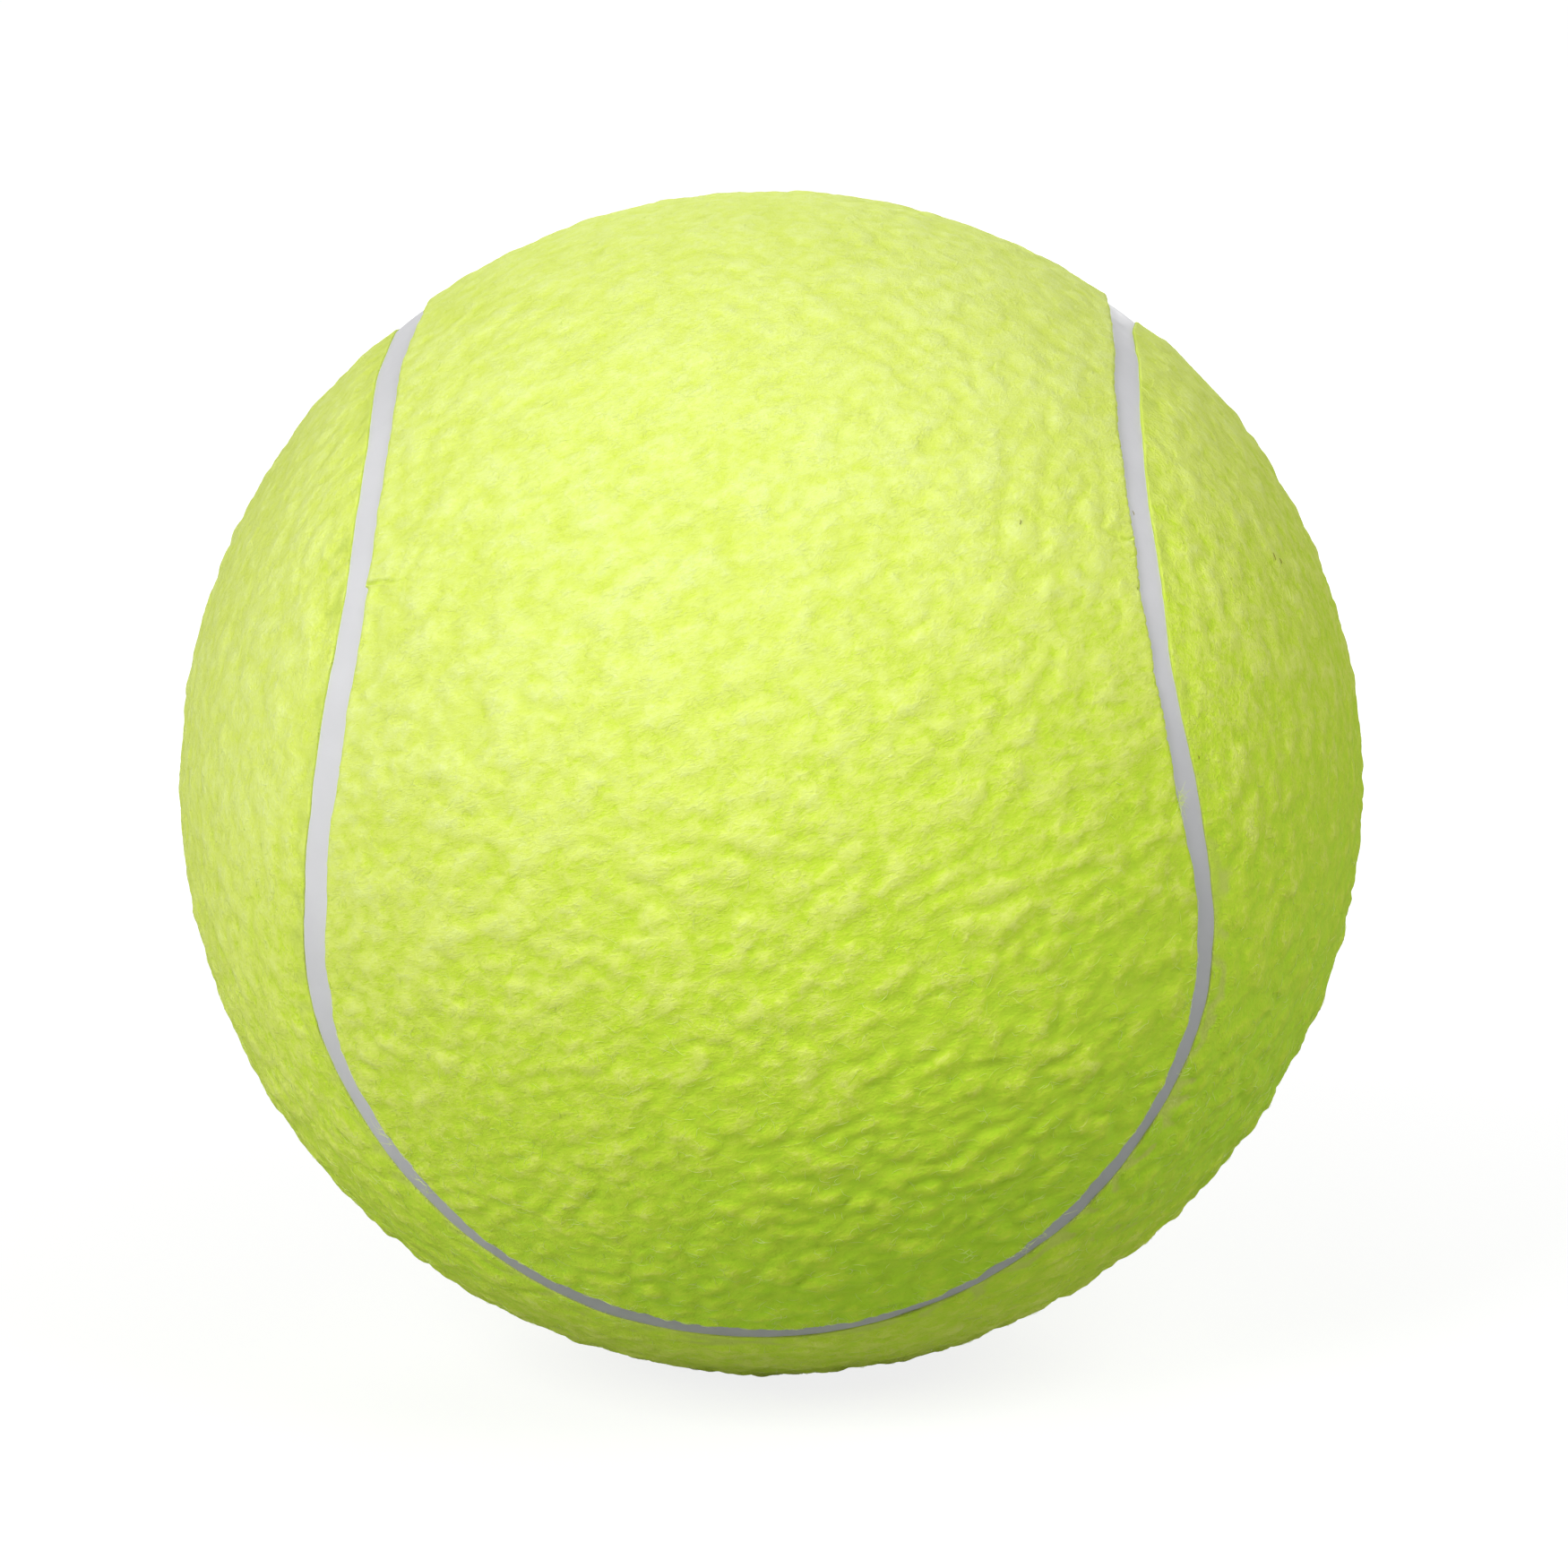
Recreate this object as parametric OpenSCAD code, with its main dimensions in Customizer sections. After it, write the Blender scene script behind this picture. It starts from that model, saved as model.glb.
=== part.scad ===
// Oversize inflatable tennis ball, drawn as the layers that it is made of.
// Origin at the centre of the ball. +Z points through the waist of felt panel A,
// panel A's two lobes face -Y and +Y, panel B's two lobes face +X and -X, and the
// inflating valve lies on +Y, under the felt of panel A's back lobe.

/* [Ball] */
// Diameter over the felt
ball_d = 240; // [200:1:300]

/* [Felt panels] */
// Thickness of the felt
felt_t = 2.2; // [1.6:0.1:4]
// Width and depth of the bevel on the felt's upper edge
felt_bevel = 0.8; // [0.3:0.1:1.2]
// Thickness of the cement film that bonds the felt
cement_t = 0.2; // [0.1:0.05:0.5]

/* [Seam] */
// Width of the gap between the two felt panels
seam_w = 5.6; // [3:0.1:9]
// Thickness of the seam rubber that lies in that gap
seam_t = 1.2; // [0.4:0.1:1.4]
// Clearance between the seam rubber and each felt edge
seam_fit = 0.05; // [0.02:0.01:0.2]
// Angle in degrees by which the lobes lean out of the ball's equator
lobe_lean = 8.5; // [4:0.1:14]

/* [Relief slits] */
// Length of the slits that let the felt's concave edges lie flat
slit_len = 9; // [4:0.5:12]
// Width of a slit at the felt's edge
slit_w = 0.6; // [0.3:0.1:1.2]
// Angle in degrees around a side lobe between a slit and the top of that lobe
slit_turn = 59; // [40:1:65]

/* [Rubber layers] */
// Clearance between layers that are bonded to each other
bond_gap = 0.05; // [0.02:0.01:0.1]
// Wall of the moulded rubber carcass
carcass_t = 1.4; // [1:0.1:4]
// Wall of the air bladder
bladder_t = 1; // [0.8:0.1:3]

/* [Valve] */
// Diameter of the needle's lead-in hole in the plug
needle_bore_d = 2.2; // [1.8:0.1:3]
// Length of the straight part of the lead-in hole
needle_bore_len = 8; // [5:0.5:9]
// Width of the countersink round the mouth of the lead-in hole
needle_mouth_w = 0.6; // [0.3:0.1:0.9]
// Diameter of the hole punched in the felt over the valve
felt_hole_d = 4; // [3.6:0.1:6]
// Diameter of the plug's stem
plug_d = 6.4; // [6:0.1:7.5]
// Diameter of the plug's head
plug_head_d = 8.4; // [8:0.1:9]
// Thickness of the plug's head
plug_head_t = 1.6; // [1:0.1:2]
// Length of the plug's stem below its head
plug_len = 14; // [12:0.5:18]
// How far the plug's locking ring stands out of the stem
plug_ring_h = 0.6; // [0.3:0.1:0.8]
// Width of the plug's locking ring
plug_ring_w = 2; // [1:0.1:3]
// Distance from the head to the plug's locking ring
plug_ring_at = 7; // [5:0.5:8]
// Clearance round the plug in its seat
plug_fit = 0.05; // [0.02:0.01:0.15]
// Diameter of the seat's collar, where it passes the bladder and the carcass
collar_d = 12; // [11:0.5:14]
// Clearance round the collar in the two rubber walls
collar_fit = 0.05; // [0.02:0.01:0.2]
// Diameter of the seat's flange on the inside of the bladder
flange_d = 26; // [20:1:32]
// Thickness of that flange
flange_t = 1.2; // [0.8:0.1:2]
// Diameter of the seat's boss inside the ball
boss_d = 13; // [12:0.5:16]
// Thickness of the boss's floor below the plug
boss_floor_t = 1.6; // [1:0.1:3]
// Diameter of the air hole in the boss's floor
air_hole_d = 3; // [2.6:0.1:4]

/* [Hidden] */
$fn = 180;

// Radii of the layers, from the felt inwards
r_ball = ball_d / 2;
r_felt_back = r_ball - felt_t;
r_cement = r_felt_back - bond_gap;
r_cement_back = r_cement - cement_t;
r_carcass = r_cement_back - bond_gap;
r_carcass_in = r_carcass - carcass_t;
r_bladder = r_carcass_in - bond_gap;
r_air = r_bladder - bladder_t;
r_flange = r_air - bond_gap;
r_seam_back = r_carcass + bond_gap;
r_seam = r_seam_back + seam_t;

// The seam's centre line is four equal circle arcs, each about the axis of a lobe, and
// neighbouring arcs touch on the directions (+-1, +-1, 0). That fixes their opening angle.
arc_angle = acos(cos(lobe_lean) / sqrt(2));
// Arcs that meet are not drawn tangent: this much of a step parts them
arc_step = felt_t / 40;
// Angles from a lobe's axis to its own panel's edge and to the other panel's edge
half_gap_angle = (seam_w + arc_step) / 2 / r_carcass * 180 / PI;
step_angle = arc_step / r_carcass * 180 / PI;
fit_angle = seam_fit / r_carcass * 180 / PI;
lobe_angle = arc_angle - half_gap_angle;
waist_angle = arc_angle + half_gap_angle - step_angle;

// Overrun of every cut past the surface that it opens
cut = felt_t / 2;

// Valve heights along its axis, measured from the ball's centre
plug_top = sqrt(pow(r_carcass, 2) - pow(plug_head_d / 2 + plug_fit, 2));
plug_seat = plug_top - plug_head_t;
plug_end = plug_seat - plug_len;
boss_end = plug_end - plug_fit - boss_floor_t;
ring_top = plug_seat - plug_ring_at;
tip_h = plug_d / 4;

// Turn a shape drawn along +Z onto the axis of panel A's front (1) or back (-1) lobe
module on_lobe_a(side) { rotate([side * (90 + lobe_lean), 0, 0]) children(); }

// Turn a shape drawn along +Z onto the axis of panel B's right (1) or left (-1) lobe
module on_lobe_b(side) { rotate([0, side * (90 - lobe_lean), 0]) children(); }

// Turn panel A's outline into panel B's: the two panels have one shape
module as_panel_b() { rotate([0, 0, 90]) mirror([0, 0, 1]) children(); }

// Turn a shape drawn along +Z onto the valve's axis
module on_valve() { rotate([-90, 0, 0]) children(); }

// Spherical shell between two radii
module shell(r_in, r_out) {
    difference() {
        sphere(r = r_out);
        sphere(r = r_in);
    }
}

// Cone about Z with its tip at the ball's centre, from well inside radius r_in to well
// outside r_out. Near r_out its wall turns by the bevel: inwards at flare -1, outwards at 1.
module cone(angle, r_in, r_out, bevel, flare) {
    reach = 2 * r_out;
    wall = [sin(angle), cos(angle)];
    across = [cos(angle), -sin(angle)];
    near = r_in / 2 * wall;
    shoulder = (r_out - bevel) * wall;
    far = bevel == 0 ? reach * wall : shoulder + 2 * bevel * (wall + flare * across);
    rotate_extrude() polygon([[0, near[1]], near, shoulder, far, [0, reach]]);
}

// Room that a dumbbell panel fills between two radii: two round lobes, joined over +Z by
// a waist between the other panel's lobes. grow widens it all round, in degrees.
module panel_zone(r_in, r_out, bevel = 0, grow = 0) {
    half = 2 * r_out;
    for (side = [1, -1]) on_lobe_a(side) cone(lobe_angle + grow, r_in, r_out, bevel, -1);
    difference() {
        translate([-half, -half, 0]) cube([2 * half, 2 * half, half]);
        for (side = [1, -1]) on_lobe_b(side) cone(waist_angle - grow, r_in, r_out, bevel, 1);
    }
}

// Layer of that dumbbell shape
module dumbbell(r_in, r_out, bevel = 0) {
    intersection() {
        shell(r_in, r_out);
        panel_zone(r_in, r_out, bevel);
    }
}

// V-shaped slits across the four concave edges of the waist, each pointing away from a lobe
module relief_slits() {
    for (side = [1, -1], turn = [slit_turn, -slit_turn])
        on_lobe_b(side) rotate([0, 0, 90 + side * 90 + turn]) rotate([0, waist_angle, 0])
            translate([0, 0, r_felt_back - cut]) linear_extrude(felt_t + 2 * cut)
                polygon([[-cut, -slit_w / 2], [slit_len, 0], [-cut, slit_w / 2]]);
}

// Hole along the valve's axis through the outer layers
module valve_hole(d) { on_valve() cylinder(h = ball_d, d = d); }

module bladder() {
    color([0.09, 0.09, 0.1]) difference() {
        shell(r_air, r_bladder);
        valve_hole(collar_d + 2 * collar_fit);
    }
}

module carcass() {
    color([0.55, 0.55, 0.56]) difference() {
        shell(r_carcass_in, r_carcass);
        valve_hole(collar_d + 2 * collar_fit);
    }
}

// Stem, head and locking ring of the plug, grown by gap all round to give its pocket
module plug_body(gap) {
    translate([0, 0, plug_seat - gap]) cylinder(h = plug_head_t + gap, d = plug_head_d + 2 * gap);
    translate([0, 0, plug_end - gap]) cylinder(h = plug_len + gap, d = plug_d + 2 * gap);
    translate([0, 0, ring_top - plug_ring_w - gap])
        cylinder(h = plug_ring_w + 2 * gap, d = plug_d + 2 * (plug_ring_h + gap));
}

module valve_seat() {
    color([0.16, 0.16, 0.17]) on_valve() difference() {
        union() {
            intersection() {
                sphere(r = r_carcass);
                translate([0, 0, plug_end]) cylinder(h = ball_d, d = collar_d);
            }
            intersection() {
                shell(r_flange - flange_t, r_flange);
                cylinder(h = ball_d, d = flange_d);
            }
            translate([0, 0, boss_end])
                cylinder(h = r_flange - flange_t / 2 - boss_end, d = boss_d);
        }
        plug_body(plug_fit);
        translate([0, 0, plug_seat]) cylinder(h = ball_d, d = plug_head_d + 2 * plug_fit);
        translate([0, 0, boss_end - cut]) cylinder(h = ball_d, d = air_hole_d);
    }
}

module valve_plug() {
    color([0.07, 0.07, 0.08]) on_valve() difference() {
        plug_body(0);
        translate([0, 0, plug_top - needle_mouth_w - needle_bore_len])
            cylinder(h = ball_d, d = needle_bore_d);
        translate([0, 0, plug_top - needle_mouth_w])
            cylinder(h = 2 * needle_mouth_w, d1 = needle_bore_d, d2 = needle_bore_d + 4 * needle_mouth_w);
        rotate_extrude() translate([0, plug_end]) polygon([
            [plug_d / 2 - tip_h, -cut],
            [plug_d / 2 + cut, -cut],
            [plug_d / 2 + cut, tip_h + cut],
            [plug_d / 2 - tip_h, 0]]);
    }
}

module seam_band() {
    color([0.8, 0.8, 0.81]) difference() {
        shell(r_seam_back, r_seam);
        panel_zone(r_seam_back, r_seam, grow = fit_angle);
        as_panel_b() panel_zone(r_seam_back, r_seam, grow = fit_angle);
    }
}

module cement_a() {
    color([0.72, 0.66, 0.42]) difference() {
        dumbbell(r_cement_back, r_cement);
        valve_hole(felt_hole_d);
    }
}

module cement_b() {
    color([0.72, 0.66, 0.42]) as_panel_b() dumbbell(r_cement_back, r_cement);
}

module felt_panel_a() {
    color([0.8, 0.92, 0.3]) difference() {
        dumbbell(r_felt_back, r_ball, felt_bevel);
        relief_slits();
        valve_hole(felt_hole_d);
    }
}

module felt_panel_b() {
    color([0.76, 0.9, 0.28]) as_panel_b() dumbbell(r_felt_back, r_ball, felt_bevel);
}

bladder();
valve_seat();
valve_plug();
carcass();
seam_band();
cement_a();
cement_b();
felt_panel_a();
felt_panel_b();
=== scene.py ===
"""Looks of the oversize tennis ball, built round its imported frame.

Two dumbbell felt panels lock round each other on an inflated rubber ball. Between them
runs one closed seam of light grey rubber, and a needle valve sits under panel A.
All lengths are in metres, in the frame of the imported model: origin at the ball's centre,
+Z through panel A's waist, panel A's front lobe towards -Y, the valve towards +Y.
"""

import logging
import math
import random
from dataclasses import dataclass, field
from enum import Enum
from typing import Any

import bpy
import numpy as np
from mathutils import Matrix, Vector, noise
from mathutils.bvhtree import BVHTree


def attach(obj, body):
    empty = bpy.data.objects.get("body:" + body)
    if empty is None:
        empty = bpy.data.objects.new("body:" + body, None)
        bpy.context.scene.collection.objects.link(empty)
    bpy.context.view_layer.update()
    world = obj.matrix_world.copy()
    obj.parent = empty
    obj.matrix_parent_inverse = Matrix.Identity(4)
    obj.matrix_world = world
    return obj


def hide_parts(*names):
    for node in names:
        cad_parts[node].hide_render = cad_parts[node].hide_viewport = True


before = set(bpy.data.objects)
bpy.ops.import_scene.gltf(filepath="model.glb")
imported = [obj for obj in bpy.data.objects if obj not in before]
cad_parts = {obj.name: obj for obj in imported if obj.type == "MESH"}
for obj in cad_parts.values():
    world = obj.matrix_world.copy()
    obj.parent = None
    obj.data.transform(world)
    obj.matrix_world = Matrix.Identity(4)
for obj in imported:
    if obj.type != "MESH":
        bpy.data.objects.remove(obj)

MM = 0.001
LOG = logging.getLogger("oversize_ball")

Colour = tuple[float, float, float, float]
Direction = tuple[float, float, float]


@dataclass(frozen=True)
class BallSizes:
    """Sizes that the looks share with the ball's solids."""

    radius: float = 120.0 * MM
    felt_back: float = 117.8 * MM
    seam_top: float = 118.75 * MM
    half_gap: float = 2.888 * MM
    lobe_lean: float = math.radians(8.5)
    felt_hole: float = 2.0 * MM


SIZES = BallSizes()


class Panel(Enum):
    """The two felt panels: A has its waist on top, B has it underneath."""

    A = "felt_panel_a"
    B = "felt_panel_b"


@dataclass(frozen=True)
class Lobe:
    """One round end of a felt panel, with the arc of the seam that runs round it."""

    panel: Panel
    axis: Direction

    @property
    def below(self) -> bool:
        """Whether this lobe's arc of the seam lies below the ball's equator."""
        return self.panel is Panel.A


def ball_lobes(lean: float) -> tuple[Lobe, ...]:
    """The four lobes: panel A's front and back ones, then panel B's right and left ones.

    Args:
        lean: Angle by which every lobe leans out of the equator, away from its waist.

    Returns:
        The lobes in that order.
    """
    flat, lift = math.cos(lean), math.sin(lean)
    return (
        Lobe(Panel.A, (0.0, -flat, -lift)),
        Lobe(Panel.A, (0.0, flat, -lift)),
        Lobe(Panel.B, (flat, 0.0, lift)),
        Lobe(Panel.B, (-flat, 0.0, lift)),
    )


# ---- sums on rows of points


def eased(value: np.ndarray) -> np.ndarray:
    """A soft step from 0 to 1 while the value goes from 0 to 1."""
    held = np.clip(value, 0.0, 1.0)
    return held * held * (3.0 - 2.0 * held)


def units(rows: np.ndarray) -> np.ndarray:
    """The direction of each row, as a row of length 1."""
    return rows / np.linalg.norm(rows, axis=1, keepdims=True)


def on_face(way: Direction) -> np.ndarray:
    """The place on the felt's face that lies in one direction."""
    return np.array(way) / np.linalg.norm(way) * SIZES.radius


def cloud(points: np.ndarray, scale: float, own: float = 0.0) -> np.ndarray:
    """Smooth noise at each point.

    Args:
        points: Places, one row each.
        scale: Patches in a metre.
        own: Any number, which gives a pattern of its own.

    Returns:
        A value of about -0.5 to 0.5 for each point.
    """
    offset = Vector((own, -own, 0.5 * own))
    return np.array([noise.noise(Vector(p) * scale + offset) for p in points])


def beside(points: np.ndarray, start: np.ndarray,
           end: np.ndarray) -> tuple[np.ndarray, np.ndarray]:
    """Where points lie beside a straight stretch.

    Args:
        points: Places, one row each.
        start: First end of the stretch.
        end: Its other end.

    Returns:
        The distance from the stretch, and how far along it each point lies, from 0 to 1.
    """
    line = end - start
    share = np.clip((points - start) @ line / (line @ line), 0.0, 1.0)
    return np.linalg.norm(points - start - share[:, None] * line, axis=1), share


@dataclass
class SeamCourse:
    """Course of the seam: four circle arcs, one round each lobe, that touch on the equator.

    The panels are laid by hand, so both felt edges leave that course a little. The points of
    edge_a and edge_b say where: each is a place along the seam and how far the edge lies
    towards panel B there, both in millimetres. Places count from the lowest point of panel
    A's front lobe, and positive ones lie on the ball's right half.

    Attributes:
        lobes: The lobes that the arcs run round.
        arc: Angle between a lobe's axis and its arc.
        edge_a: Points that panel A's edge runs through.
        edge_b: Points that panel B's edge runs through.
        soft: Length each way over which the edges' corners at these points are rounded.
        known: Length each way from the lowest point within which the points hold.
        fading: The last stretch of it, over which they fade out.
        sway: How far the edges wander on the rest of the seam.
        sway_scale: Patches of that wander in a metre.
    """

    lobes: tuple[Lobe, ...] = field(default_factory=lambda: ball_lobes(SIZES.lobe_lean))
    arc: float = math.acos(math.cos(SIZES.lobe_lean) / math.sqrt(2.0))
    edge_a: tuple[tuple[float, float], ...] = (
        (-300, 0.5), (-280, -0.5), (-260, 1.5), (-240, 0.0), (-200, -2.0), (-155, -0.7),
        (-140, -2.1), (-130, -0.7), (-120, -0.4), (-110, 1.1), (-80, -0.5), (-60, 0.6),
        (-20, -0.8), (30, 0.2), (80, -0.5), (100, 1.7), (120, 2.3), (150, 1.5), (165, 0.2),
        (205, -0.5), (240, 0.2), (270, 2.3), (300, 1.9))
    edge_b: tuple[tuple[float, float], ...] = (
        (-300, 3.1), (-280, 2.3), (-262, 3.2), (-240, 0.9), (-200, -1.3), (-180, 0.5),
        (-150, 0.3), (-140, -0.8), (-130, 0.7), (-110, 1.3), (-90, 0.0), (-70, 0.0),
        (-30, 1.3), (-10, 0.0), (45, -1.6), (70, -0.5), (82, -1.2), (120, 1.5), (140, 0.6),
        (160, 0.8), (185, -1.2), (205, -0.3), (222, -0.6), (265, 2.6), (285, 2.1), (300, 3.9))
    soft: float = 3.0 * MM
    known: float = 350.0 * MM
    fading: float = 60.0 * MM
    sway: float = 2.2 * MM
    sway_scale: float = 22.0

    @property
    def ring(self) -> float:
        """Radius of each circle that an arc of the seam belongs to."""
        return SIZES.radius * math.sin(self.arc)

    @property
    def meeting(self) -> float:
        """Angle round a lobe's axis from the middle of its arc to the next arc."""
        return math.atan2(1.0, -math.sin(SIZES.lobe_lean))

    @property
    def axes(self) -> np.ndarray:
        """The lobes' axes, one row each."""
        return np.array([lobe.axis for lobe in self.lobes])

    def nearest_lobe(self, unit: np.ndarray) -> np.ndarray:
        """Index of the lobe whose arc rules each direction.

        Args:
            unit: Directions from the ball's centre, one row each.

        Returns:
            One index into lobes for each row.
        """
        near = unit @ self.axes.T
        below = unit[:, 2] < 0
        return np.where(below, np.argmax(near[:, :2], axis=1), 2 + np.argmax(near[:, 2:], axis=1))

    def measure(self, points: np.ndarray) -> tuple[np.ndarray, np.ndarray]:
        """Where points lie across the seam.

        Args:
            points: Places on or near the ball, one row each.

        Returns:
            The distance along the ball from the seam's centre line, positive on panel B's
            side, and the unit directions along the ball from panel A towards panel B.
        """
        unit = units(points)
        lobe = self.nearest_lobe(unit)
        axis = self.axes[lobe]
        side = np.where(lobe < 2, 1.0, -1.0)
        cosine = np.clip((unit * axis).sum(axis=1), -1.0, 1.0)
        angle = np.arccos(cosine)
        away = unit * cosine[:, None] - axis
        away /= np.maximum(np.sin(angle), 1e-6)[:, None]
        return side * (angle - self.arc) * SIZES.radius, away * side[:, None]

    def along(self, points: np.ndarray) -> np.ndarray:
        """How far along the seam points lie from the lowest point of panel A's front lobe.

        Args:
            points: Places on or near the ball, one row each.

        Returns:
            One length for each point, positive on the ball's right half.
        """
        unit = units(points)
        x, y, z = unit.T
        lean, flat = math.sin(SIZES.lobe_lean), math.cos(SIZES.lobe_lean)
        front, back = np.arctan2(x, y * lean - z * flat), np.arctan2(x, -y * lean - z * flat)
        right, left = np.arctan2(y, z * flat - x * lean), np.arctan2(y, z * flat + x * lean)
        return self.ring * np.choose(self.nearest_lobe(unit), [
            front, np.copysign(4 * self.meeting - np.abs(back), x), 2 * self.meeting + right,
            -2 * self.meeting - left])

    def wander(self, points: np.ndarray, panel: Panel) -> np.ndarray:
        """How far a panel's edge lies off its course, towards panel B, beside each point.

        Args:
            points: Places on or near the ball, one row each.
            panel: The panel whose edge is meant.

        Returns:
            One distance for each point.
        """
        places, shifts = np.array(self.edge_a if panel is Panel.A else self.edge_b).T * MM
        along = self.along(points)
        laid = np.mean([np.interp(along + slide, places, shifts)
                        for slide in (-self.soft, 0.0, self.soft)], axis=0)
        known = eased((self.known - np.abs(along)) / self.fading)
        return laid * known + self.sway * cloud(points, self.sway_scale) * (1.0 - known)


# ---- mesh helpers


def add_object(name: str, data: bpy.types.ID | None) -> bpy.types.Object:
    """Put a new object into the scene.

    Args:
        name: What it is called.
        data: What it shows, or None for an empty.

    Returns:
        The new object.
    """
    obj = bpy.data.objects.new(name, data)
    bpy.context.scene.collection.objects.link(obj)
    return obj


def only(obj: bpy.types.Object) -> None:
    """Select one object alone and make it the active one.

    Args:
        obj: That object.
    """
    if bpy.context.object and bpy.context.object.mode != "OBJECT":
        bpy.ops.object.mode_set(mode="OBJECT")
    bpy.ops.object.select_all(action="DESELECT")
    obj.select_set(True)
    bpy.context.view_layer.objects.active = obj


def read_points(obj: bpy.types.Object) -> np.ndarray:
    """The places of a mesh's vertices.

    Args:
        obj: The mesh object.

    Returns:
        One row for each vertex.
    """
    flat = np.empty(len(obj.data.vertices) * 3)
    obj.data.vertices.foreach_get("co", flat)
    return flat.reshape(-1, 3)


def write_points(obj: bpy.types.Object, points: np.ndarray) -> None:
    """Move a mesh's vertices to new places."""
    obj.data.vertices.foreach_set("co", points.astype(np.float32).ravel())
    obj.data.update()


def face_centres(obj: bpy.types.Object) -> np.ndarray:
    """Leave edit mode and read the middles of a mesh's faces.

    Args:
        obj: The mesh object.

    Returns:
        One row for each face.
    """
    if obj.mode != "OBJECT":
        bpy.ops.object.mode_set(mode="OBJECT")
    flat = np.empty(len(obj.data.polygons) * 3)
    obj.data.polygons.foreach_get("center", flat)
    return flat.reshape(-1, 3)


def pick(obj: bpy.types.Object, faces: np.ndarray | None = None) -> None:
    """Enter edit mode with only some faces selected, or with nothing selected.

    Args:
        obj: The mesh object, which becomes the active one.
        faces: True for each face to select.
    """
    only(obj)
    mesh = obj.data
    for parts in (mesh.vertices, mesh.edges, mesh.polygons):
        parts.foreach_set("select", np.zeros(len(parts), bool))
    if faces is not None:
        mesh.polygons.foreach_set("select", faces)
    bpy.ops.object.mode_set(mode="EDIT")
    bpy.ops.mesh.select_mode(type="FACE")


def pick_rim(obj: bpy.types.Object) -> None:
    """Enter edit mode with the open rim of a mesh selected.

    Args:
        obj: The mesh object, which becomes the active one.
    """
    pick(obj)
    bpy.ops.mesh.select_mode(type="EDGE")
    bpy.ops.mesh.select_non_manifold(extend=False, use_wire=False, use_multi_face=False,
                                     use_non_contiguous=False, use_verts=False)


def selected_points(obj: bpy.types.Object) -> np.ndarray:
    """Leave edit mode and say which vertices were selected there.

    Args:
        obj: The mesh object.

    Returns:
        True for each vertex that was selected.
    """
    bpy.ops.object.mode_set(mode="OBJECT")
    chosen = np.empty(len(obj.data.vertices), bool)
    obj.data.vertices.foreach_get("select", chosen)
    return chosen


def finish_mesh(obj: bpy.types.Object, name: str) -> bpy.types.Object:
    """Name a finished mesh, smooth it and leave it unselected.

    Args:
        obj: The mesh object.
        name: The name that it and its mesh get.

    Returns:
        The same object.
    """
    only(obj)
    obj.name = obj.data.name = name
    bpy.ops.object.shade_smooth()
    obj.select_set(False)
    return obj


# ---- finishes


class NodeTree:
    """A tree of shader nodes, with short ways to add and join them."""

    def __init__(self, tree: bpy.types.NodeTree) -> None:
        """Take a tree over and empty it."""
        self.tree = tree
        tree.nodes.clear()

    def add(self, kind: str, inputs: dict[Any, Any] | None = None,
            **settings: Any) -> bpy.types.Node:
        """Add one node.

        Args:
            kind: The node's type.
            inputs: For each input, a socket to join to it or the value it holds.
            settings: The node's own properties.

        Returns:
            The new node.
        """
        node = self.tree.nodes.new(kind)
        for key, value in settings.items():
            setattr(node, key, value)
        for key, value in (inputs or {}).items():
            if isinstance(value, bpy.types.NodeSocket):
                self.tree.links.new(value, node.inputs[key])
            else:
                node.inputs[key].default_value = value
        return node

    def math(self, operation: str, a: Any, b: Any = 0.0) -> bpy.types.NodeSocket:
        """Join two values by one sum."""
        return self.add("ShaderNodeMath", {0: a, 1: b}, operation=operation).outputs[0]

    def seen(self) -> bpy.types.NodeSocket:
        """1 for rays by which the camera sees a backdrop, straight, mirrored or through glass.

        Returns:
            A socket that holds 1 or 0.
        """
        ray = self.add("ShaderNodeLightPath").outputs
        either = self.math("MAXIMUM", ray["Is Camera Ray"], ray["Is Glossy Ray"])
        return self.math("MAXIMUM", either, ray["Is Transmission Ray"])


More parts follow.
